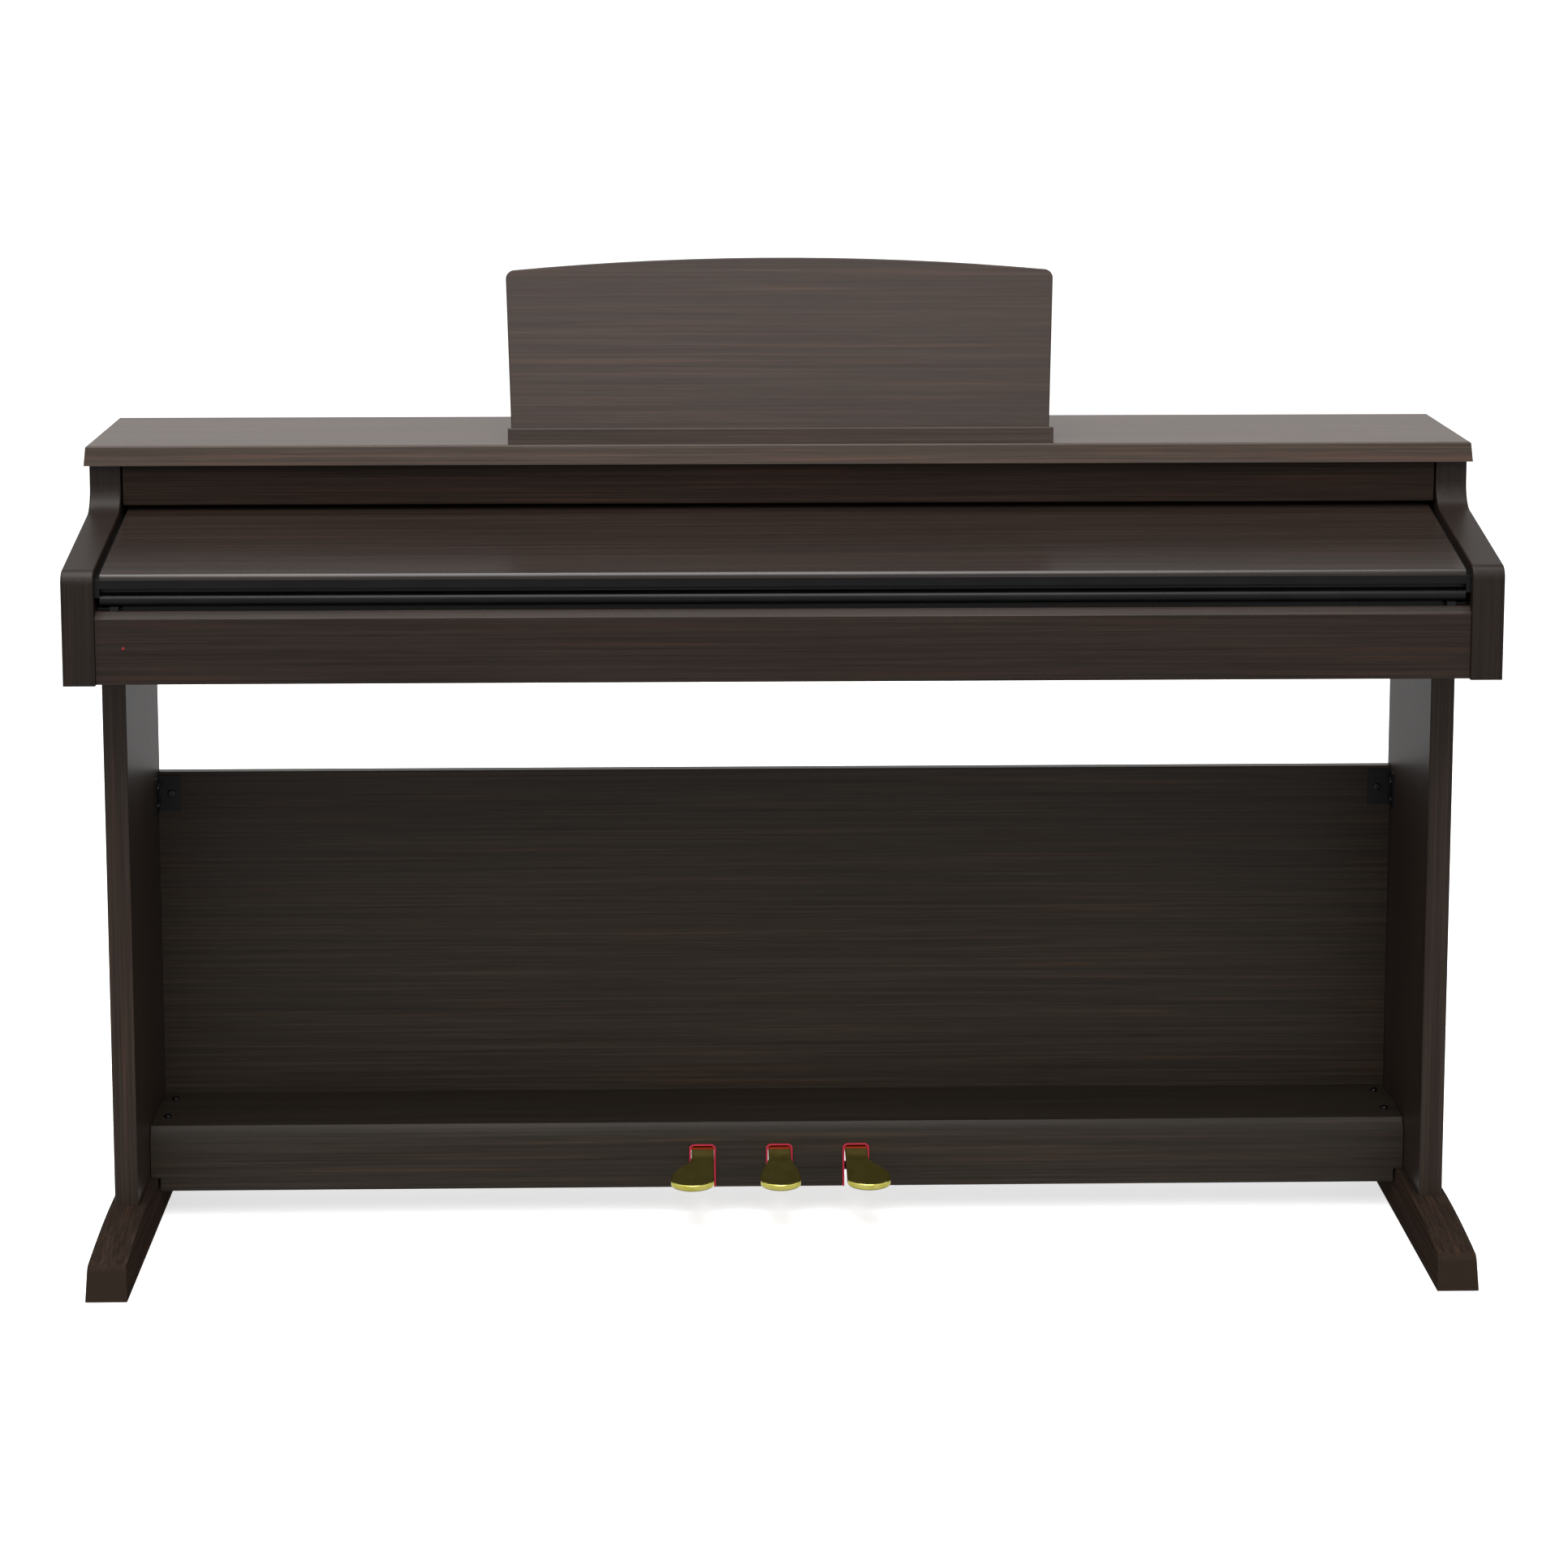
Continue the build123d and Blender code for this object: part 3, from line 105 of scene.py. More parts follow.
# Edges sharper than this are eased, in this many steps.
EDGE_ANGLE = math.radians(38.0)
EDGE_STEPS = 2

# Sides of a grille's wire and steps round its rings.
WIRE_SIDES = 6
RING_STEPS = 48

# A screw head as shares of its radius and height: its profile, and the recess's arms and taper.
HEAD_STEPS = 24
HEAD_PROFILE = ((1.0, 0.0), (1.0, 0.35), (0.93, 0.7), (0.72, 1.0))
CROSS_ARM = 0.16
CROSS_REACH = 0.55
CROSS_TAPER = 0.8
CROSS_FLOOR = 0.35


class Grain(Enum):
    """The axis that a board's grain runs along."""

    ALONG_X = 0
    ALONG_Y = 1
    ALONG_Z = 2

    def stretch(self, along: float, across: float) -> Triple:
        """Texture scale for this grain.

        Args:
            along: Features per metre along the grain.
            across: Features per metre across the grain.

        Returns:
            The scale for each axis.
        """
        scale = [across, across, across]
        scale[self.value] = along
        return (scale[0], scale[1], scale[2])


@dataclass(frozen=True)
class Noise:
    """Settings of one soft noise.

    Attributes:
        scale: Features per metre along each axis.
        detail: Layers of finer noise.
        rough: Strength of the finer layers.
    """

    scale: Triple
    detail: float = 2.0
    rough: float = 0.5


class NodeGraph:
    """A node tree, with short calls for the nodes that all trees share."""

    def __init__(self, tree: bpy.types.NodeTree) -> None:
        """Take over a tree.

        Args:
            tree: The tree to build in.
        """
        self.tree = tree

    def node(self, kind: str, settings: dict[str, str] | None = None, **inputs: object) -> Node:
        """Add one node.

        Args:
            kind: Blender's name for the node.
            settings: Options of the node, set before its inputs.
            **inputs: Constants or sockets for its inputs, with underscores for spaces.

        Returns:
            The node.
        """
        node = self.tree.nodes.new(kind)
        for option, choice in (settings or {}).items():
            setattr(node, option, choice)
        self.fill(node, **inputs)
        return node

    def fill(self, node: Node, **inputs: object) -> None:
        """Give a node's inputs constants or sockets, with underscores for spaces in their names."""
        for label, value in inputs.items():
            self.feed(value, node.inputs[label.replace("_", " ")])

    def feed(self, value: object, target: Socket) -> None:
        """Give one input a constant, or join a socket to it."""
        if isinstance(value, Socket):
            self.tree.links.new(value, target)
        else:
            target.default_value = value

    def math(self, operation: str, first: Socket, second: Socket | float) -> Socket:
        """One sum of two values.

        Args:
            operation: Blender's name for the sum.
            first: First value.
            second: Second value, a socket or a number.

        Returns:
            The result.
        """
        node = self.node("ShaderNodeMath", {"operation": operation})
        self.feed(first, node.inputs[0])
        self.feed(second, node.inputs[1])
        return node.outputs[0]

    def ramp(self, value: Socket, stops: Iterable[tuple[float, Colour]]) -> Socket:
        """Colours along a value.

        Args:
            value: The value to colour.
            stops: Places from 0 to 1 with their colours.

        Returns:
            The colour.
        """
        node = self.node("ShaderNodeValToRGB", Fac=value)
        elements = node.color_ramp.elements
        wanted = list(stops)
        while len(elements) < len(wanted):
            elements.new(0.5)
        for element, (place, colour) in zip(elements, wanted):
            element.position = place
            element.color = (*colour, 1.0)
        return node.outputs["Color"]


class ShaderGraph(NodeGraph):
    """A material's node tree, with short calls for the nodes that the finishes share."""

    def __init__(self, name: str) -> None:
        """Start a material with its surface shader.

        Args:
            name: Name of the material.
        """
        self.material = bpy.data.materials.new(name)
        self.material.use_nodes = True
        super().__init__(self.material.node_tree)
        self._coordinates = self.node("ShaderNodeTexCoord")

    def surface(self, **inputs: object) -> Material:
        """Set inputs of the surface shader.

        Args:
            **inputs: Constants or sockets, with underscores for spaces.

        Returns:
            The material.
        """
        self.fill(self.tree.nodes["Principled BSDF"], **inputs)
        return self.material

    def place(self, scale: Triple, shift: Sequence[float] = ORIGIN) -> Socket:
        """Object coordinates, moved and scaled.

        Args:
            scale: Features per metre along each axis.
            shift: Point of the object that becomes the pattern's middle.

        Returns:
            The vector for a texture.
        """
        start = [-part * size for part, size in zip(Vector(shift), scale)]
        mapping = self.node("ShaderNodeMapping", Vector=self._coordinates.outputs["Object"],
                            Location=start, Scale=scale)
        return mapping.outputs["Vector"]

    def facing(self, grain: Grain) -> Socket:
        """How far a face looks along the grain, as the cut ends of a board do.

        Args:
            grain: The board's grain.

        Returns:
            1 on a cut end, 0 on a long face.
        """
        parts = self.node("ShaderNodeSeparateXYZ", Vector=self._coordinates.outputs["Normal"])
        return self.math("ABSOLUTE", parts.outputs[grain.value], 0.0)

    def noise(self, noise: Noise, shift: Sequence[float] = ORIGIN) -> Socket:
        """Soft noise in object coordinates.

        Args:
            noise: Its settings.
            shift: Point of the object that becomes the noise's middle.

        Returns:
            The noise value.
        """
        texture = self.node("ShaderNodeTexNoise", Vector=self.place(noise.scale, shift), Scale=1.0,
                            Detail=noise.detail, Roughness=noise.rough)
        return texture.outputs["Fac"]

    def span(self, value: Socket, low: float, high: float) -> Socket:
        """A value from 0 to 1 stretched to another span.

        Args:
            value: The value.
            low: Result at 0.
            high: Result at 1.

        Returns:
            The stretched value.
        """
        return self.node("ShaderNodeMapRange", Value=value, To_Min=low, To_Max=high).outputs["Result"]

    def mix(self, share: Socket, first: Socket, colour: Colour) -> Socket:
        """A colour mixed into another.

        Args:
            share: How much of the second colour.
            first: The colour underneath.
            colour: The second colour.

        Returns:
            The mixed colour.
        """
        node = self.node("ShaderNodeMix", {"data_type": "RGBA"}, Factor=share, A=first, B=(*colour, 1.0))
        return node.outputs["Result"]

    def bump(self, height: Socket, distance: float, strength: float) -> Socket:
        """The normal of a surface raised by a value.

        Args:
            height: The value.
            distance: Height in metres where the value is 1.
            strength: Share of the effect.

        Returns:
            The normal.
        """
        node = self.node("ShaderNodeBump", Height=height, Distance=distance, Strength=strength)
        return node.outputs["Normal"]


class Finish(Protocol):
    """Anything that can make its own material."""

    @property
    def name(self) -> str:
        """Name of the material."""

    def make(self) -> Material:
        """Build the material."""


@dataclass(frozen=True)
class GrainLayer:
    """One layer of a board's grain.

    Attributes:
        along: Features per metre along the grain.
        across: Features per metre across the grain.
        detail: Layers of finer noise.
        rough: Strength of the finer layers.
        share: The layer's share of the whole.
    """

    along: float
    across: float
    detail: float
    rough: float
    share: float


@dataclass(frozen=True)
class Rosewood:
    """Satin laminate with a dark, fine and straight rosewood grain, toned per board to paint in the light
    and shade on it.
    """

    name: str
    grain: Grain
    shift: Triple = ORIGIN
    # Scale of the colours: its brightness paints in the light and shade on this board, and its balance of
    # red, green and blue is the board's hue.
    tone: Colour = (1.0, 1.0, 1.0)
    shine: float = 0.16
    figure: float = 1.0
    dark: Colour = (0.0110, 0.0066, 0.0050)
    middle: Colour = (0.0190, 0.0118, 0.0090)
    light: Colour = (0.0300, 0.0192, 0.0148)
    red: Colour = (0.0560, 0.0250, 0.0160)
    gloss: Span = (0.34, 0.44)
    bands: GrainLayer = GrainLayer(1.4, 70.0, 3.0, 0.5, 0.14)
    streaks: GrainLayer = GrainLayer(3.5, 460.0, 4.0, 0.6, 0.58)
    fibres: GrainLayer = GrainLayer(24.0, 1900.0, 3.0, 0.6, 0.28)
    contrast: float = 0.16
    glow: GrainLayer = GrainLayer(2.6, 260.0, 4.0, 0.6, 0.4)
    glow_shift: Triple = (3.1, 1.7, 2.3)
    glow_turn: Span = (0.53, 0.7)
    end_share: float = 0.85
    relief: float = 0.06 * MM
    depth: float = 0.5

    def make(self) -> Material:
        """Build the material."""
        graph = ShaderGraph(self.name)
        streaks = self._noise(graph, self.streaks)
        fibres = self._noise(graph, self.fibres)
        tone = graph.math("MULTIPLY", self._noise(graph, self.bands), self.bands.share)
        for noise, layer in ((streaks, self.streaks), (fibres, self.fibres)):
            tone = graph.math("ADD", tone, graph.math("MULTIPLY", noise, layer.share))
        reach = self.contrast / self.figure
        stops = [(0.5 - reach, self._with_painted_light(self.dark)), (0.5, self._with_painted_light(self.middle)),
                 (0.5 + reach, self._with_painted_light(self.light))]
        colour = graph.ramp(tone, stops)
        most = (self.glow.share * self.figure,) * 3
        glow = self._noise(graph, self.glow, self.glow_shift)
        glow = graph.ramp(glow, zip(self.glow_turn, (NO_GLOW, most)))
        colour = graph.mix(glow, colour, self._with_painted_light(self.red))
        ends = graph.math("MULTIPLY", graph.facing(self.grain), self.end_share)
        return graph.surface(
            Base_Color=graph.mix(ends, colour, self._with_painted_light(self.middle)),
            Roughness=graph.span(streaks, *self.gloss),
            Normal=graph.bump(fibres, self.relief, self.depth),
            Specular_IOR_Level=self.shine,
        )

    def _noise(self, graph: ShaderGraph, layer: GrainLayer, further: Triple = ORIGIN) -> Socket:
        """One layer's noise along this board's grain.

        Args:
            graph: The material's graph.
            layer: The layer.
            further: What is added to the board's shift.

        Returns:
            The noise value.
        """
        noise = Noise(self.grain.stretch(layer.along, layer.across), layer.detail, layer.rough)
        return graph.noise(noise, Vector(self.shift) + Vector(further))

    def _with_painted_light(self, colour: Colour) -> Colour:
        """The colour at this board's tone, which paints in the light and shade on the board."""
        return tuple(part * share for part, share in zip(colour, self.tone))


@dataclass(frozen=True)
class Mottled:
    """A surface of two colours in a soft cloud, with a fine texture.

    Attributes:
        name: Name of the material.
        low: Colour where the cloud is thin.
        high: Colour where the cloud is thick.
        gloss: Roughness at the low and the high end.
        relief: Height of the texture.
        cloud: The cloud.
        turn: Values of the cloud where each colour is full.
        texture: The texture.
        depth: Share of the relief that shows.
        cloudy: Whether the gloss follows the cloud and not the texture.
        shine: Strength of the reflections.
        metal: 1 for a metal.
        extras: Further inputs of the surface shader.
    """

    name: str
    low: Colour
    high: Colour
    gloss: Span
    relief: float
    cloud: Noise
    turn: Span
    texture: Noise
    depth: float = 0.5
    cloudy: bool = False
    shine: float = 0.5
    metal: float = 0.0
    extras: Extras = ()

    def make(self) -> Material:
        """Build the material."""
        graph = ShaderGraph(self.name)
        cloud = graph.noise(self.cloud)
        texture = graph.noise(self.texture)
        return graph.surface(
            Base_Color=graph.ramp(cloud, zip(self.turn, (self.low, self.high))),
            Roughness=graph.span(cloud if self.cloudy else texture, *self.gloss),
            Normal=graph.bump(texture, self.relief, self.depth),
            Specular_IOR_Level=self.shine,
            Metallic=self.metal,
            **dict(self.extras),
        )


@dataclass(frozen=True)
class Moulded(Mottled):
    """Moulded or painted black surface with a fine texture."""

    low: Colour = (0.0020, 0.0020, 0.0021)
    high: Colour = (0.0036, 0.0036, 0.0038)
    gloss: Span = (0.28, 0.38)
    relief: float = 0.03 * MM
    cloud: Noise = Noise((22.0, 60.0, 60.0), 3.0)
    turn: Span = (0.35, 0.65)
    texture: Noise = Noise((2600.0, 2600.0, 2600.0), 2.0, 0.6)
    depth: float = 0.6
    cloudy: bool = True
    shine: float = 0.3


@dataclass(frozen=True)
class Brass(Mottled):
    """Polished brass with faint lengthwise polishing lines and hazy tarnish."""

    low: Colour = (0.7, 0.63, 0.12)
    high: Colour = (0.84, 0.77, 0.21)
    gloss: Span = (0.24, 0.15)
    relief: float = 0.015 * MM
    cloud: Noise = Noise((70.0, 55.0, 70.0), 4.0, 0.6)
    turn: Span = (0.36, 0.6)
    texture: Noise = Noise((2200.0, 60.0, 900.0))
    cloudy: bool = True
    metal: float = 1.0


@dataclass(frozen=True)
class KeyPlastic(Mottled):
    """Key covering: gloss white, or black with a fine tooth."""

    cloud: Noise = Noise((30.0, 9.0, 30.0), 3.0)
    turn: Span = (0.35, 0.6)
    texture: Noise = Noise((1900.0, 420.0, 1900.0))


@dataclass(frozen=True)
class Steel(Mottled):
    """Plated steel with drawn lines."""

    low: Colour = (0.46, 0.46, 0.48)
    high: Colour = (0.66, 0.66, 0.67)
    gloss: Span = (0.26, 0.44)
    relief: float = 0.01 * MM
    cloud: Noise = Noise((90.0, 90.0, 90.0), 3.0)
    turn: Span = (0.36, 0.62)
    texture: Noise = Noise((80.0, 1600.0, 1600.0), 3.0, 0.6)
    metal: float = 1.0


@dataclass(frozen=True)
class Felt(Mottled):
    """Pressed wool felt."""

    low: Colour = (0.30, 0.008, 0.028)
    high: Colour = (0.62, 0.03, 0.075)
    gloss: Span = (0.95, 0.95)
    relief: float = 0.3 * MM
    cloud: Noise = Noise((1500.0, 1500.0, 1500.0), 4.0, 0.7)
    turn: Span = (0.3, 0.68)
    texture: Noise = Noise((1500.0, 1500.0, 1500.0), 4.0, 0.7)
    depth: float = 0.8
    extras: Extras = (
        ("Sheen_Weight", 0.35),
        ("Sheen_Roughness", 0.4),
        ("Sheen_Tint", (0.9, 0.35, 0.4, 1.0)),
    )


@dataclass(frozen=True)
class LampLens(Mottled):
    """Red light pipe that glows a little, smooth all over."""

    low: Colour = (0.10, 0.006, 0.006)
    high: Colour = (0.20, 0.012, 0.010)
    gloss: Span = (0.2, 0.2)
    relief: float = 0.0
    cloud: Noise = Noise((700.0, 700.0, 700.0))
    turn: Span = (0.35, 0.65)
    texture: Noise = Noise((700.0, 700.0, 700.0))
    extras: Extras = (
        ("Emission_Color", (1.0, 0.06, 0.04, 1.0)),
        ("Emission_Strength", 0.05),
    )


@dataclass(frozen=True)
class CaseBoard:
    """Plain dark board of the unseen sides, with a faint pressed grain."""

    name: str
    base: Colour = (0.021, 0.017, 0.015)
    spot: Colour = (0.034, 0.027, 0.023)
    chips: Noise = Noise((240.0, 520.0, 520.0), 4.0, 0.6)
    cloud: Noise = Noise((5.0, 14.0, 14.0))
    turn: Span = (0.38, 0.64)
    gloss: Span = (0.55, 0.7)
    relief: float = 0.1 * MM
    depth: float = 0.5

    def make(self) -> Material:
        """Build the material."""
        graph = ShaderGraph(self.name)
        chips = graph.noise(self.chips)
        tone = graph.math("MULTIPLY", graph.math("ADD", chips, graph.noise(self.cloud)), 0.5)
        return graph.surface(
            Base_Color=graph.ramp(tone, zip(self.turn, (self.base, self.spot))),
            Roughness=graph.span(chips, *self.gloss),
            Normal=graph.bump(chips, self.relief, self.depth),
        )


@dataclass(frozen=True)
class CircuitBoard:
    """Green board with paler copper tracks under its mask."""

    name: str
    mask: Colour = (0.012, 0.075, 0.03)
    track: Colour = (0.03, 0.16, 0.06)
    pattern: Triple = (160.0, 160.0, 160.0)
    track_width: float = 0.06
    cloud: Noise = Noise((300.0, 300.0, 300.0))
    gloss: Span = (0.3, 0.45)

    def make(self) -> Material:
        """Build the material."""
        graph = ShaderGraph(self.name)
        mask = (*self.mask, 1.0)
        bricks = graph.node("ShaderNodeTexBrick", Vector=graph.place(self.pattern), Scale=1.0, Color1=mask,
                            Color2=mask, Mortar=(*self.track, 1.0), Mortar_Size=self.track_width)
        return graph.surface(
            Base_Color=bricks.outputs["Color"],
            Roughness=graph.span(graph.noise(self.cloud), *self.gloss),
        )


@dataclass(frozen=True)
class SpeakerPaper:
    """Pressed paper cone with rings round its own middle."""

    name: str
    centre: Triple
    dark: Colour = (0.012, 0.012, 0.012)
    pale: Colour = (0.03, 0.03, 0.03)
    pulp: Noise = Noise((900.0, 900.0, 900.0), 3.0, 0.6)
    turn: Span = (0.35, 0.65)
    ring_scale: float = 34.0
    relief: float = 0.5 * MM
    depth: float = 0.5
    rough: float = 0.85

    def make(self) -> Material:
        """Build the material."""
        graph = ShaderGraph(self.name)
        rings = graph.node("ShaderNodeTexWave", {"wave_type": "RINGS", "rings_direction": "Z"},
                           Vector=graph.place((1.0, 1.0, 1.0), self.centre), Scale=self.ring_scale,
                           Distortion=0.0)
        return graph.surface(
            Base_Color=graph.ramp(graph.noise(self.pulp), zip(self.turn, (self.dark, self.pale))),
            Normal=graph.bump(rings.outputs["Fac"], self.relief, self.depth),
            Roughness=self.rough,
        )


SATIN_BLACK = Moulded("satin_black")
CONTROL_BLACK = Moulded("control_black", gloss=(0.22, 0.3))
BLACK_SCREWS = Moulded("black_screws", gloss=(0.3, 0.42))
PAINTED_BRACKET = Moulded("painted_bracket", gloss=(0.34, 0.46))
RUBBER = Moulded("rubber", gloss=(0.7, 0.85), relief=0.08 * MM)
PLATED_STEEL = Steel("plated_steel")
RED_FELT = Felt("red_felt")


class FittingTree(NodeGraph):
    """A Geometry Nodes tree with named inputs, whose result becomes a plain mesh."""

    def __init__(self, name: str, inputs: dict[str, str]) -> None:
        """Start the tree.

        Args:
            name: Name of the tree.
            inputs: Name and type of each input.
        """
        super().__init__(bpy.data.node_groups.new(name, "GeometryNodeTree"))
        sockets = self.tree.interface
        sockets.new_socket("Geometry", in_out="INPUT", socket_type="NodeSocketGeometry")
        self._keys: dict[str, str] = {}
        for label, kind in inputs.items():
            socket = sockets.new_socket(label, in_out="INPUT", socket_type=f"NodeSocket{kind}")
            self._keys[label] = socket.identifier
        sockets.new_socket("Geometry", in_out="OUTPUT", socket_type="NodeSocketGeometry")
        self._start = self.node("NodeGroupInput")

    def given(self, label: str) -> Socket:
        """The socket of a named input."""
        return self._start.outputs[label]

    def close(self, geometry: Socket) -> None:
        """End the tree with its instances made real."""
        real = self.node("GeometryNodeRealizeInstances", Geometry=geometry)
        self.node("NodeGroupOutput", Geometry=real.outputs["Geometry"])

    def mesh(self, name: str, **values: object) -> Mesh:
        """Run the tree and keep its result.

        Args:
            name: Name of the mesh.
            **values: Values of the inputs.

        Returns:
            The plain mesh.
        """
        host = bpy.data.objects.new(name, bpy.data.meshes.new(name))
        modifier = host.modifiers.new("fittings", "NODES")
        modifier.node_group = self.tree
        for label, value in values.items():
            modifier[self._keys[label]] = value
        show(host)
        graph = bpy.context.evaluated_depsgraph_get()
        mesh = bpy.data.meshes.new_from_object(host.evaluated_get(graph), depsgraph=graph)
        mesh.name = name
        bpy.data.objects.remove(host)
        return mesh


def row_tree() -> FittingTree:
    """A tree that repeats one fitting along a straight row.

    Returns:
        The tree, with inputs Fitting, First, Step, Count and Turn.
    """
    tree = FittingTree("row of fittings", {
        "Fitting": "Object",
        "First": "Vector",
        "Step": "Vector",
        "Count": "Int",
        "Turn": "Vector",
    })
    line = tree.node("GeometryNodeMeshLine", {"mode": "OFFSET"}, Count=tree.given("Count"),
                     Start_Location=tree.given("First"), Offset=tree.given("Step"))
    fitting = tree.node("GeometryNodeObjectInfo", {"transform_space": "ORIGINAL"},
                        Object=tree.given("Fitting"))
    turn = tree.node("FunctionNodeEulerToRotation", Euler=tree.given("Turn"))
    places = tree.node("GeometryNodeInstanceOnPoints", Points=line.outputs["Mesh"],
                       Instance=fitting.outputs["Geometry"], Rotation=turn.outputs["Rotation"])
    tree.close(places.outputs["Instances"])
    return tree


def grille_tree() -> FittingTree:
    """A tree that makes a round grille of wire rings and spokes.

    Returns:
        The tree, with inputs Centre, Radius, Rings, Spokes and Wire.
    """
    tree = FittingTree("wire grille", {
        "Centre": "Vector",
        "Radius": "Float",
        "Rings": "Int",
        "Spokes": "Int",
        "Wire": "Float",
    })
    index = tree.node("GeometryNodeInputIndex").outputs["Index"]
    wire = tree.node("GeometryNodeCurvePrimitiveCircle", Resolution=WIRE_SIDES, Radius=tree.given("Wire"))

    ring_points = tree.node("GeometryNodePoints", Count=tree.given("Rings"))
    ring = tree.node("GeometryNodeCurvePrimitiveCircle", Resolution=RING_STEPS, Radius=1.0)
    share = tree.math("DIVIDE", tree.math("ADD", index, 1.0), tree.given("Rings"))
    rings = tree.node("GeometryNodeInstanceOnPoints", Points=ring_points.outputs["Points"],
                      Instance=ring.outputs["Curve"],
                      Scale=tree.math("MULTIPLY", share, tree.given("Radius")))

    spoke_points = tree.node("GeometryNodePoints", Count=tree.given("Spokes"))
    reach = tree.node("ShaderNodeCombineXYZ", X=tree.given("Radius"))
    spoke = tree.node("GeometryNodeCurvePrimitiveLine", End=reach.outputs["Vector"])
    angle = tree.math("DIVIDE", tree.math("MULTIPLY", index, math.tau), tree.given("Spokes"))
    about = tree.node("ShaderNodeCombineXYZ", Z=angle)
    turn = tree.node("FunctionNodeEulerToRotation", Euler=about.outputs["Vector"])
    spokes = tree.node("GeometryNodeInstanceOnPoints", Points=spoke_points.outputs["Points"],
                       Instance=spoke.outputs["Curve"], Rotation=turn.outputs["Rotation"])

    both = tree.node("GeometryNodeJoinGeometry")
    for part in (spokes, rings):
        tree.fill(both, Geometry=part.outputs["Instances"])
    lines = tree.node("GeometryNodeRealizeInstances", Geometry=both.outputs["Geometry"])
    wires = tree.node("GeometryNodeCurveToMesh", Curve=lines.outputs["Geometry"],
                      Profile_Curve=wire.outputs["Curve"])
    moved = tree.node("GeometryNodeTransform", Geometry=wires.outputs["Mesh"],
                      Translation=tree.given("Centre"))
    tree.close(moved.outputs["Geometry"])
    return tree


def show(thing: Thing) -> None:
    """Put an object into the scene."""
    bpy.context.scene.collection.objects.link(thing)


def welded(solid: Thing) -> Work:
    """A working copy of a solid's mesh, with its doubled corners joined."""
    work = bmesh.new()
    work.from_mesh(solid.data)
    bmesh.ops.remove_doubles(work, verts=work.verts, dist=WELD)
    return work


def settled(work: Work, name: str) -> Mesh:
    """The plain mesh of a working mesh, which is used up.

    Args:
        work: The working mesh.
        name: Name of the plain mesh.

    Returns:
        The plain mesh.
    """
    mesh = bpy.data.meshes.new(name)
    work.to_mesh(mesh)
    work.free()
    return mesh


def around(row: list) -> list[tuple]:
    """Each member of a closed row with the next one."""
    return list(zip(row, row[1:] + row[:1]))


def ring(work: Work, radius: float, height: float, steps: int) -> list[Corner]:
    """Corners on a circle about Z.

    Args:
        work: The working mesh.
        radius: Radius of the circle.
        height: Its height.
        steps: Number of corners.

    Returns:
        The corners.
    """
    angles = [math.tau * step / steps for step in range(steps)]
    return [work.verts.new((radius * math.cos(a), radius * math.sin(a), height)) for a in angles]


def bridge(work: Work, low: list[Corner], high: list[Corner]) -> None:
    """Fill the band between two loops of equally many corners.

    Args:
        work: The working mesh.
        low: Corners of the first loop.
        high: Corners of the second loop.
    """
    for (low_here, low_next), (high_here, high_next) in zip(around(low), around(high)):
        work.faces.new((low_here, low_next, high_next, high_here))


def turned_mesh(name: str, profile: list[tuple[float, float]], steps: int) -> Mesh:
    """A shape turned about Z.

    Args:
        name: Name of the mesh.
        profile: Radius and height of each corner, closed from the last to the first.
        steps: Steps round the axis.

    Returns:
        The closed mesh.
    """
    work = bmesh.new()
    loops = [ring(work, radius, height, steps) for radius, height in profile]
    for low, high in around(loops):
        bridge(work, low, high)
    bmesh.ops.recalc_face_normals(work, faces=work.faces)
    return settled(work, name)


def screw_head(radius: float, height: float) -> Thing:
    """A pan-head screw's head with a cross recess, standing on Z, as a pattern for rows.

    Args:
        radius: Radius of the head.
        height: Height of the head.

    Returns:
        The pattern object, which isn't shown itself.
    """
    arm = CROSS_ARM * radius
    reach = CROSS_REACH * radius
    cross = [(reach, -arm), (reach, arm), (arm, arm), (arm, reach), (-arm, reach), (-arm, arm),
             (-reach, arm), (-reach, -arm), (-arm, -arm), (-arm, -reach), (arm, -reach), (arm, -arm)]
    work = bmesh.new()
    loops = [ring(work, wide * radius, high * height, HEAD_STEPS) for wide, high in HEAD_PROFILE]
    for low, high in zip(loops, loops[1:]):
        bridge(work, low, high)
    work.faces.new(list(reversed(loops[0])))
    rim = [work.verts.new((x, y, height)) for x, y in cross]
    floor = [work.verts.new((CROSS_TAPER * x, CROSS_TAPER * y, CROSS_FLOOR * height)) for x, y in cross]
    bridge(work, floor, rim)
    work.faces.new(floor)
    top = [work.edges.get(pair) for loop in (loops[-1], rim) for pair in around(loop)]
    bmesh.ops.bridge_loops(work, edges=top)
    bmesh.ops.recalc_face_normals(work, faces=work.faces)
    return bpy.data.objects.new("screw_pattern", settled(work, "screw head"))


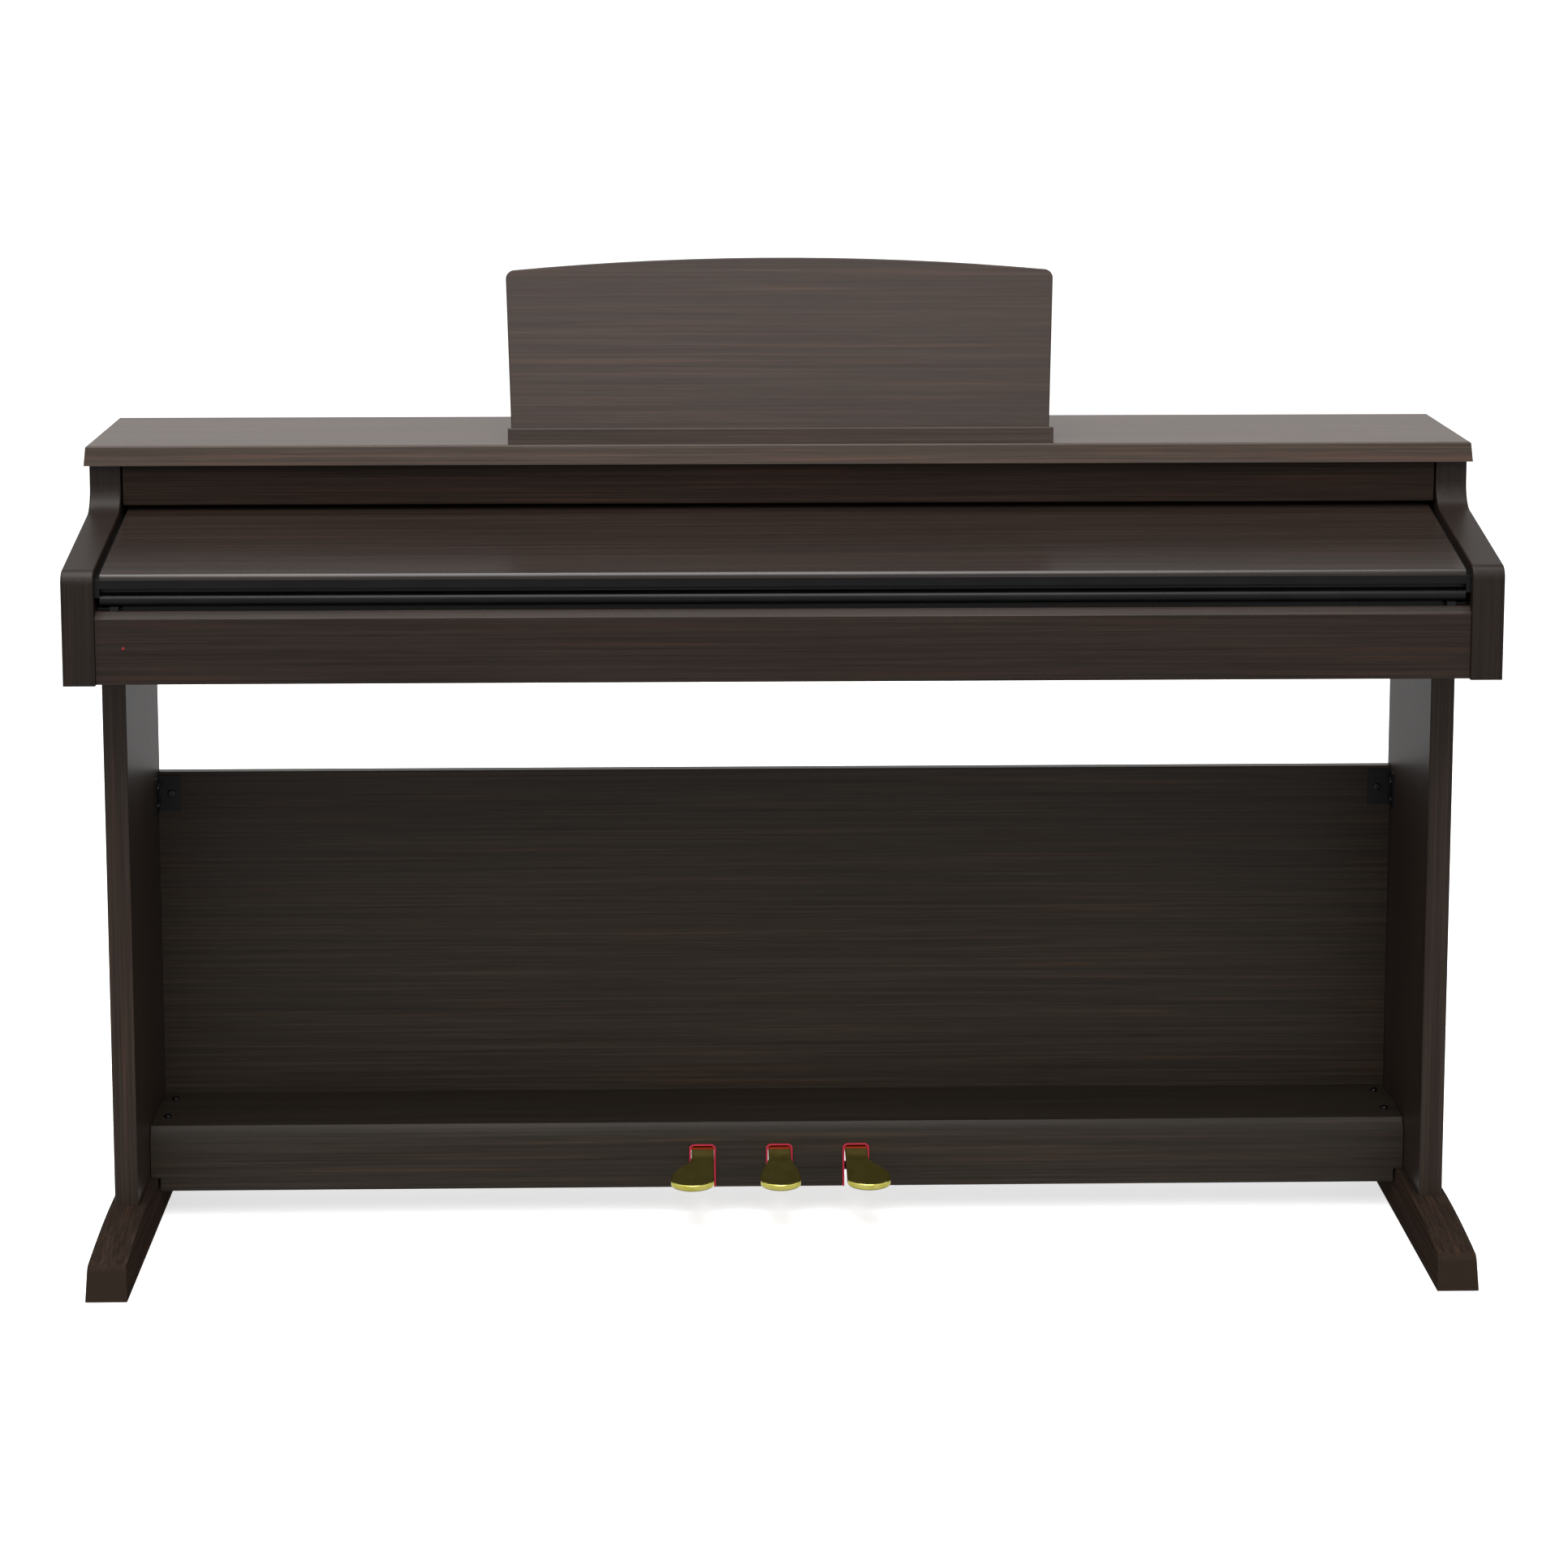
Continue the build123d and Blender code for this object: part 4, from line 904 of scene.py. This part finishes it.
class Workshop:
    """Keeps the frame, the finishes and the trees, and makes pieces that ride on their bodies."""

    def __init__(self, frame: dict) -> None:
        """Take over the loaded frame.
        """
        self.nodes: dict[str, Thing] = frame["nodes"]
        record = frame["record"]
        self.body_of: dict[str, str] = {}
        for body, members in record["behaviour"]["bodies"].items():
            for node in members:
                self.body_of[node] = body
        self.slot_of: dict[str, str] = {row["node"]: row["material_slot"] for row in record["subparts"]}
        self.rows = row_tree()
        self.grilles = grille_tree()
        self._made: dict[str, Material] = {}

    def coat(self, mesh: Mesh, finish: Finish) -> None:
        """Give a mesh a finish, whose material is made once.

        Args:
            mesh: The mesh.
            finish: Its finish.
        """
        if finish.name not in self._made:
            self._made[finish.name] = finish.make()
        mesh.materials.clear()
        mesh.materials.append(self._made[finish.name])

    def dress(self, finish: Finish, *nodes: str) -> None:
        """Give solids' own meshes a finish.

        Args:
            finish: The finish.
            *nodes: Names of the solids' nodes.
        """
        for node in nodes:
            self.coat(self.nodes[node].data, finish)
            LOG.info("dressed %s in %s", node, finish.name)

    def soften(self, finish: Finish, width: float, *nodes: str) -> None:
        """Stand copies with eased edges in for solids.

        Args:
            finish: Their finish.
            width: Width of the eased edges.
            *nodes: Names of the solids' nodes.
        """
        for node in nodes:
            work = welded(self.nodes[node])
            bmesh.ops.dissolve_limit(work, angle_limit=FLAT_ANGLE, verts=work.verts, edges=work.edges)
            for face in work.faces:
                face.smooth = True
            mesh = settled(work, f"{node}_eased")
            for name in ("custom_normal", "sharp_edge", "sharp_face"):
                if mesh.attributes.get(name):
                    mesh.attributes.remove(mesh.attributes[name])
            piece = self.piece(f"{node}_eased", mesh, self.body_of[node], self.slot_of[node], finish)
            bevel = piece.modifiers.new("eased edges", "BEVEL")
            bevel.width = width
            bevel.segments = EDGE_STEPS
            bevel.limit_method = "ANGLE"
            bevel.angle_limit = EDGE_ANGLE
            level = piece.modifiers.new("level faces", "WEIGHTED_NORMAL")
            level.keep_sharp = True
            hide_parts(node)

    def piece(self, name: str, mesh: Mesh, body: str, slot: str, finish: Finish) -> Thing:
        """Make a mesh a piece of the object.

        Args:
            name: Name of the piece.
            mesh: Its mesh, in place.
            body: The body it moves with.
            slot: The record's slot for the piece, which is not used.
            finish: Its finish.

        Returns:
            The new piece.
        """
        self.coat(mesh, finish)
        for polygon in mesh.polygons:
            polygon.material_index = 0
        piece = bpy.data.objects.new(name, mesh)
        show(piece)
        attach(piece, body)
        LOG.info("made %s on %s", name, body)
        return piece


@dataclass(frozen=True)
class ScrewRows:
    """Pan-head screws along the top and the bottom edge of a board's back.

    Attributes:
        radius: Radius of a head.
        height: Height of a head.
        inset: Distance of the screws from the board's edges.
        count: Screws in a row.
    """

    radius: float
    height: float
    inset: float
    count: int

    def build(self, shop: Workshop, node: str, name: str) -> None:
        """Drive both rows.

        Args:
            shop: The workshop.
            node: Name of the board's node.
            name: Start of the pieces' names.
        """
        low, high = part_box(node)
        pattern = screw_head(self.radius, self.height)
        span = high.x - low.x - 2 * self.inset
        step = Vector((span / (self.count - 1), 0.0, 0.0))
        for edge, z in (("top", high.z - self.inset), ("bottom", low.z + self.inset)):
            first = Vector((low.x + self.inset, high.y, z))
            mesh = shop.rows.mesh(f"{name}_{edge}", Fitting=pattern, First=first, Step=step,
                                  Count=self.count, Turn=TURN_BACK)
            shop.piece(f"{name}_{edge}", mesh, "cabinet", "black_steel", BLACK_SCREWS)
        bpy.data.objects.remove(pattern)


@dataclass
class SubAssembly:
    """One part of the piano, made of solids and fittings."""

    shop: Workshop

    def dress(self) -> None:
        """Finish the solids."""

    def fit(self) -> None:
        """Add the fittings that the solids leave out."""


@dataclass
class Case(SubAssembly):
    """The case: side panels, top, name board, slip, bed, back and speakers."""

    board_edge: float = 0.7 * MM
    screws: ScrewRows = ScrewRows(radius=3.6 * MM, height=1.5 * MM, inset=14.0 * MM, count=9)
    grille_radius: float = 45.0 * MM
    grille_rings: int = 9
    grille_spokes: int = 12
    grille_wire: float = 0.9 * MM
    rim_overlap: float = 0.6 * MM
    rim_reach: float = 54.0 * MM
    rim_drop: float = 1.6 * MM
    rim_slope: float = 1.5 * MM
    rim_lip: float = 0.4
    rim_steps: int = 64
    # These boards share one laminate; their tones paint in the light and shade on each: the top far lighter,
    # the sides darker.
    top: Finish = Rosewood("rosewood_top", Grain.ALONG_X, tone=(2.1, 2.3, 2.25), shine=0.2)
    front: Finish = Rosewood("rosewood_name", Grain.ALONG_X, (0.6, 0.1, 0.5), (0.92, 0.96, 0.94), shine=0.05)
    slip: Finish = Rosewood("rosewood_slip", Grain.ALONG_X, tone=(0.95, 1.0, 0.98))
    sides: Finish = Rosewood("rosewood_sides", Grain.ALONG_Z, tone=(0.7, 0.75, 0.75))
    board: Finish = CaseBoard("case_board")
    lamp: Finish = LampLens("lamp_red")
    circuit: Finish = CircuitBoard("circuit_board")

    def dress(self) -> None:
        """Finish the boards and the parts inside."""
        self.shop.dress(self.sides, "side_panel_left", "side_panel_right")
        self.shop.dress(self.top, "top_board")
        self.shop.soften(self.front, self.board_edge, "name_board")
        self.shop.soften(self.slip, self.board_edge, "key_slip")
        self.shop.soften(self.board, self.board_edge, "key_bed", "back_board")
        self.shop.dress(SATIN_BLACK, "fallboard")
        self.shop.dress(self.lamp, "power_lamp")
        self.shop.dress(self.circuit, "main_circuit_board")
        for node in ("speaker_left", "speaker_right"):
            low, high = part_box(node)
            self.shop.dress(SpeakerPaper(f"{node}_paper", tuple((low + high) / 2)), node)

    def fit(self) -> None:
        """Add the back board's screws and the speaker grilles."""
        self.screws.build(self.shop, "back_board", "back_screws")
        for side in ("left", "right"):
            self._grille(side)

    def _grille(self, side: str) -> None:
        """Close one speaker opening with a wire grille in a flat rim."""
        low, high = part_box(f"speaker_{side}")
        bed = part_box("key_bed")[0].z
        centre = Vector(((low.x + high.x) / 2, (low.y + high.y) / 2, bed + 2 * self.grille_wire))
        mesh = self.shop.grilles.mesh(f"speaker_grille_{side}", Centre=centre, Radius=self.grille_radius,
                                      Rings=self.grille_rings, Spokes=self.grille_spokes,
                                      Wire=self.grille_wire)
        self.shop.piece(f"speaker_grille_{side}", mesh, "cabinet", "black_satin", SATIN_BLACK)
        inner = self.grille_radius - self.rim_overlap
        outer = self.rim_reach
        face = -self.rim_drop
        lip = self.rim_lip * face
        profile = [(inner, 0.0), (inner, lip), (inner + self.rim_slope, face),
                   (outer - self.rim_slope, face), (outer, lip), (outer, 0.0)]
        rim = turned_mesh(f"speaker_rim_{side}", profile, self.rim_steps)
        rim.transform(Matrix.Translation((centre.x, centre.y, bed)))
        self.shop.piece(f"speaker_rim_{side}", rim, "cabinet", "black_satin", SATIN_BLACK)


@dataclass
class Keyboard(SubAssembly):
    """The keys, their frame, and the key blocks with their controls."""

    key_edge: float = 0.7 * MM
    block_edge: float = 0.8 * MM
    rib_count: int = 5
    rib_width: float = 0.55 * MM
    rib_height: float = 0.5 * MM
    rib_inset: float = 1.4 * MM
    rib_margins: float = 3.0 * MM
    white: Finish = KeyPlastic("key_white", (0.65, 0.64, 0.59), (0.68, 0.67, 0.63), (0.13, 0.2), 0.002 * MM)
    black: Finish = KeyPlastic("key_black", (0.009, 0.009, 0.009), (0.012, 0.012, 0.013), (0.34, 0.46),
                               0.02 * MM)

    def dress(self) -> None:
        """Finish the keys and what carries them."""
        coverings = {"key_white": self.white, "key_black": self.black}
        for node in sorted(self.shop.nodes):
            if self.shop.slot_of[node] in coverings:
                self.shop.soften(coverings[self.shop.slot_of[node]], self.key_edge, node)
        self.shop.dress(PLATED_STEEL, "key_frame", "key_pivot_rod")
        self.shop.dress(RED_FELT, "key_felts")
        self.shop.soften(SATIN_BLACK, self.block_edge, "key_block_left", "key_block_right")
        self.shop.dress(CONTROL_BLACK, "function_button", "power_button", "volume_slider")

    def fit(self) -> None:
        """Rib the volume slider's cap."""
        low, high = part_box("volume_slider")
        pattern = self._rib((high.x - low.x) / 2 - self.rib_inset)
        run = high.y - low.y - self.rib_margins
        first = Vector(((low.x + high.x) / 2, (low.y + high.y) / 2 - run / 2, high.z))
        step = Vector((0.0, run / (self.rib_count - 1), 0.0))
        mesh = self.shop.rows.mesh("slider_ribs", Fitting=pattern, First=first, Step=step,
                                   Count=self.rib_count, Turn=Vector())
        self.shop.piece("slider_ribs", mesh, "volume_slider", "black_satin", CONTROL_BLACK)
        bpy.data.objects.remove(pattern)

    def _rib(self, half: float) -> Thing:
        """One rib along X, as a pattern for rows.

        Args:
            half: Half the rib's length.

        Returns:
            The pattern object, which isn't shown itself.
        """
        foot = self.rib_width / 2
        crest = self.rib_width / 4
        outline = [(-foot, 0.0), (-crest, self.rib_height), (crest, self.rib_height), (foot, 0.0)]
        work = bmesh.new()
        ends = [[work.verts.new((x, y, z)) for y, z in outline] for x in (-half, half)]
        bridge(work, *ends)
        for end in ends:
            work.faces.new(end)
        bmesh.ops.recalc_face_normals(work, faces=work.faces)
        return bpy.data.objects.new("rib_pattern", settled(work, "slider rib"))


@dataclass
class KeyCover(SubAssembly):
    """The sliding cover with its handle, runners and tracks."""

    cap_thickness: float = 1.4 * MM
    cap_edge: float = 0.8 * MM
    cap_steps: int = 3
    cap_flat: float = math.radians(1.0)
    end_play: float = 0.01 * MM
    # The cover's tone paints in the light and shade on it.
    board: Finish = Rosewood("rosewood_cover", Grain.ALONG_X, (0.4, 0.9, 0.3), (0.82, 0.9, 0.93), shine=0.42,
                             gloss=(0.22, 0.3))
    black: Finish = Moulded("handle_black", gloss=(0.28, 0.36), shine=0.2)
    cap: Finish = Moulded("cap_black", gloss=(0.2, 0.28))

    def dress(self) -> None:
        """Finish the cover and its fittings."""
        self.shop.dress(self.board, "key_cover")
        self.shop.dress(self.black, "cover_handle", "cover_runners", "cover_tracks")

    def fit(self) -> None:
        """Close both ends of the handle with a moulded cap."""
        low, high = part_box("cover_handle")
        for side, end, way in (("left", low.x, -1.0), ("right", high.x, 1.0)):
            mesh = self._cap_mesh(f"handle_cap_{side}", end, way)
            self.shop.piece(f"handle_cap_{side}", mesh, "cover", "black_satin", self.cap)

    def _cap_mesh(self, name: str, end: float, way: float) -> Mesh:
        """A cap with the outline of the handle's end.

        Args:
            name: Name of the mesh.
            end: Place of the handle's end along X.
            way: Direction that the end looks along X.

        Returns:
            The closed mesh.
        """
        work = welded(self.shop.nodes["cover_handle"])
        away = [vert for vert in work.verts if abs(vert.co.x - end) > self.end_play]
        bmesh.ops.delete(work, geom=away, context="VERTS")
        bmesh.ops.dissolve_limit(work, angle_limit=self.cap_flat, verts=work.verts, edges=work.edges)
        raised = bmesh.ops.extrude_face_region(work, geom=list(work.faces))
        outer = [item for item in raised["geom"] if isinstance(item, Corner)]
        bmesh.ops.translate(work, verts=outer, vec=(way * self.cap_thickness, 0.0, 0.0))
        bmesh.ops.recalc_face_normals(work, faces=work.faces)
        rim = [edge for edge in work.edges if all(vert in outer for vert in edge.verts)]
        bmesh.ops.bevel(work, geom=rim, offset=self.cap_edge, segments=self.cap_steps, affect="EDGES",
                        profile=0.5)
        return settled(work, name)


@dataclass
class Stand(SubAssembly):
    """Legs, feet, back panel and the shelf with the pedal rail."""

    board_edge: float = 0.7 * MM
    # These boards share the case's laminate; their raised tones paint in light on them, where the case
    # shades them from above.
    tall: Finish = Rosewood("rosewood_legs", Grain.ALONG_Z, tone=(1.45, 1.6, 1.6))
    deep: Finish = Rosewood("rosewood_deep", Grain.ALONG_Y, tone=(1.35, 1.5, 1.5), shine=0.0)
    panel: Finish = Rosewood("rosewood_panel", Grain.ALONG_X, (1.3, 0.2, 0.7), (1.42, 1.68, 1.6))
    rail: Finish = Rosewood("rosewood_rail", Grain.ALONG_X, (0.2, 0.6, 0.1), (1.36, 1.7, 1.66))
    screw: Finish = Steel("blackened_steel", (0.028, 0.028, 0.03), (0.06, 0.06, 0.062))

    def dress(self) -> None:
        """Finish the boards, brackets, screws and glides."""
        self.shop.soften(self.tall, self.board_edge, "leg_left", "leg_right")
        self.shop.soften(self.deep, self.board_edge, "foot_left", "foot_right")
        self.shop.soften(self.panel, self.board_edge, "back_panel")
        self.shop.soften(self.rail, self.board_edge, "pedal_rail", "pedal_shelf")
        self.shop.dress(PAINTED_BRACKET, "stand_brackets")
        self.shop.dress(self.screw, "stand_screws")
        self.shop.dress(RUBBER, "foot_glides")


@dataclass
class PedalUnit(SubAssembly):
    """The brass pedals with their felts, bracket and springs."""

    pedals: tuple[str, ...] = ("soft", "sostenuto", "damper")
    spring_keep: float = 0.86
    felt_thickness: float = 1.6 * MM
    felt_nap: float = 0.4 * MM
    slot_half: float = 14.0 * MM
    brass: Finish = Brass("polished_brass")

    def dress(self) -> None:
        """Finish the pedals and what carries them."""
        for pedal in self.pedals:
            self.shop.dress(self.brass, f"pedal_{pedal}")
        self.shop.dress(PAINTED_BRACKET, "pedal_bracket")

    def fit(self) -> None:
        """Add the felts' nap, and make each return spring a piece of its own."""
        slot = self.shop.slot_of["pedal_felts"]
        felts = self.shop.piece("pedal_felts_napped", self._felt_mesh(), "cabinet", slot, RED_FELT)
        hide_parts("pedal_felts")
        slot = self.shop.slot_of["pedal_springs"]
        for pedal in self.pedals:
            low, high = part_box(f"pedal_{pedal}")
            mesh = self._spring_mesh(f"pedal_spring_{pedal}", low.x, high.x)
            spring = self.shop.piece(f"pedal_spring_{pedal}", mesh, "cabinet", slot, PLATED_STEEL)
            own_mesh(spring)
            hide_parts("pedal_springs")

    def _felt_mesh(self) -> Mesh:
        """The slot felts, with their soft inner faces close beside the pedals' necks.

        Returns:
            The closed mesh.
        """
        work = welded(self.shop.nodes["pedal_felts"])
        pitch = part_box("pedal_felts")[1].x - self.slot_half
        inner = self.slot_half - self.felt_thickness
        for vert in work.verts:
            away = vert.co.x - pitch * round(vert.co.x / pitch)
            if abs(away) < inner + self.felt_thickness / 2:
                vert.co.x -= self.felt_nap * away / inner
        return settled(work, "pedal_felts_napped")

    def _spring_mesh(self, name: str, low: float, high: float) -> Mesh:
        """The one spring that stands under a pedal.

        Args:
            name: Name of the mesh.
            low: The pedal's left edge.
            high: The pedal's right edge.

        Returns:
            The closed mesh.
        """
        work = welded(self.shop.nodes["pedal_springs"])
        away = [vert for vert in work.verts if not low < vert.co.x < high]
        bmesh.ops.delete(work, geom=away, context="VERTS")
        for face in work.faces:
            face.smooth = True
        return settled(work, name)


@dataclass
class MusicRest(SubAssembly):
    """The folding music rest on its ledge."""

    # The rest's raised tone paints in the light on its face, which leans back towards the lamps.
    board: Finish = Rosewood("rosewood_rest", Grain.ALONG_X, (0.8, 0.3, 1.9), (1.7, 1.92, 2.02), figure=0.7)

    def dress(self) -> None:
        """Finish the panel, ledge, stays and pads."""
        self.shop.dress(self.board, "rest_panel", "rest_ledge")
        self.shop.dress(PLATED_STEEL, "rest_hinges", "stay_brackets", "rest_stay_left", "rest_stay_right")
        self.shop.dress(RUBBER, "rubber_pads")


@dataclass
class SocketPlate(SubAssembly):
    """The plate of sockets at the back, with its nuts and screws."""

    socket_radius: float = 3.25 * MM
    socket_step: float = 26.0 * MM
    socket_count: int = 2
    first_socket: float = 1.5
    nut_play: float = 0.05 * MM
    nut_radius: float = 5.6 * MM
    nut_height: float = 1.8 * MM
    nut_steps: int = 24
    bore_chamfer: float = 0.4 * MM
    bore_share: float = 0.8
    rim_chamfer: float = 0.5 * MM
    rim_share: float = 0.7
    screws: ScrewRows = ScrewRows(radius=2.6 * MM, height=1.1 * MM, inset=6.0 * MM, count=2)

    def dress(self) -> None:
        """Finish the plate."""
        self.shop.dress(SATIN_BLACK, "jack_plate")

    def fit(self) -> None:
        """Add the ring nuts of the phone sockets and the plate's screws."""
        low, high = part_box("jack_plate")
        middle = (low + high) / 2
        inner = self.socket_radius + self.nut_play
        top = self.nut_height
        profile = [(inner, 0.0), (inner, top * self.bore_share), (inner + self.bore_chamfer, top),
                   (self.nut_radius - self.rim_chamfer, top), (self.nut_radius, top * self.rim_share),
                   (self.nut_radius, 0.0)]
        nut = bpy.data.objects.new("nut_pattern", turned_mesh("ring nut", profile, self.nut_steps))
        first = Vector((middle.x + self.first_socket * self.socket_step, high.y, middle.z))
        step = Vector((-self.socket_step, 0.0, 0.0))
        mesh = self.shop.rows.mesh("socket_nuts", Fitting=nut, First=first, Step=step,
                                   Count=self.socket_count, Turn=TURN_BACK)
        self.shop.piece("socket_nuts", mesh, "cabinet", "steel", PLATED_STEEL)
        bpy.data.objects.remove(nut)
        self.screws.build(self.shop, "jack_plate", "plate_screws")


@dataclass
class Studio:
    """Pale floor, soft light and the camera.

    The sky gives the brightness at heights from 0, straight below, to 1, straight above.
    """

    floor_size: float = 60.0
    floor_colour: Colour = (0.99, 0.99, 0.99)
    floor_shade: float = 0.98
    floor_cloud: Noise = Noise((0.4, 0.4, 0.4))
    floor_turn: Span = (0.3, 0.7)
    floor_rough: float = 0.9
    floor_shine: float = 0.1
    floor_glow: float = 0.65
    sky: tuple[Span, ...] = ((0.2, 0.3), (0.3, 0.6), (0.45, 0.6), (0.475, 1.0), (0.655, 1.0), (0.8, 0.4))
    sky_level: float = 1.03
    key_power: float = 270.0
    key_place: Triple = (-0.4, -0.9, 4.6)
    key_size: float = 3.6
    fill_power: float = 80.0
    fill_place: Triple = (-0.1, -3.3, 3.4)
    fill_size: float = 2.2
    aim: Triple = (0.0, 0.0, 0.55)
    camera_place: Triple = (-0.0909, -3.83, 1.33)
    camera_pitch: float = 0.1451
    camera_turn: float = 0.0246
    sensor: float = 36.0
    lens: float = 88.32
    rise: float = -0.18

    def build(self) -> None:
        """Make the floor, the lights and the camera."""
        self._floor()
        self._light("key_light", self.key_place, self.key_size, self.key_power)
        self._light("fill_light", self.fill_place, self.fill_size, self.fill_power)
        self._sky()
        self._camera()
        bpy.context.scene.view_settings.view_transform = "Standard"

    def _floor(self) -> None:
        """Lay a pale floor under the object, which the object doesn't mirror."""
        half = self.floor_size / 2
        corners = [(-half, -half, 0), (half, -half, 0), (half, half, 0), (-half, half, 0)]
        mesh = bpy.data.meshes.new("floor")
        mesh.from_pydata(corners, [], [(0, 1, 2, 3)])
        graph = ShaderGraph("floor_paint")
        dim = tuple(self.floor_shade * part for part in self.floor_colour)
        stops = zip(self.floor_turn, (dim, self.floor_colour))
        paint = graph.surface(
            Base_Color=graph.ramp(graph.noise(self.floor_cloud), stops),
            Roughness=self.floor_rough,
            Specular_IOR_Level=self.floor_shine,
            Emission_Color=(1.0, 1.0, 1.0, 1.0),
            Emission_Strength=self.floor_glow,
        )
        mesh.materials.append(paint)
        floor = bpy.data.objects.new("floor", mesh)
        show(floor)
        floor.visible_diffuse = False
        floor.visible_glossy = False

    def _light(self, name: str, place: Triple, size: float, power: float) -> None:
        """Hang one soft box.

        Args:
            name: Name of the light.
            place: Where it hangs.
            size: Side of the box.
            power: Its power in watts.
        """
        data = bpy.data.lights.new(name, "AREA")
        data.shape = "SQUARE"
        data.size = size
        data.energy = power
        light = bpy.data.objects.new(name, data)
        light.location = place
        light.rotation_euler = (Vector(self.aim) - Vector(place)).to_track_quat("-Z", "Y").to_euler()
        show(light)

    def _sky(self) -> None:
        """Surround the object with a room that is white all round and dimmer above and below."""
        world = bpy.data.worlds.new("white room")
        world.use_nodes = True
        graph = NodeGraph(world.node_tree)
        way = graph.node("ShaderNodeTexCoord")
        parts = graph.node("ShaderNodeSeparateXYZ", Vector=way.outputs["Generated"])
        height = graph.node("ShaderNodeMapRange", Value=parts.outputs["Z"], From_Min=-1.0)
        shades = [(place, (shade, shade, shade)) for place, shade in self.sky]
        graph.fill(world.node_tree.nodes["Background"], Color=graph.ramp(height.outputs["Result"], shades),
                   Strength=self.sky_level)
        bpy.context.scene.world = world

    def _camera(self) -> None:
        """Stand the camera in front, a little left of the middle."""
        data = bpy.data.cameras.new("camera")
        data.sensor_width = self.sensor
        data.lens = self.lens
        data.shift_y = self.rise
        camera = bpy.data.objects.new("camera", data)
        camera.location = self.camera_place
        camera.rotation_euler = (math.pi / 2 - self.camera_pitch, 0.0, -self.camera_turn)
        show(camera)
        bpy.context.scene.camera = camera


def main() -> None:
    """Load the frame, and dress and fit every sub-assembly."""
    logging.basicConfig(level=logging.INFO, format="%(name)s: %(message)s")
    shop = Workshop(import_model())
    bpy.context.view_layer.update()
    for kind in (Case, Keyboard, KeyCover, Stand, PedalUnit, MusicRest, SocketPlate):
        assembly = kind(shop)
        assembly.dress()
        assembly.fit()
    Studio().build()


if __name__ == "__main__":
    main()
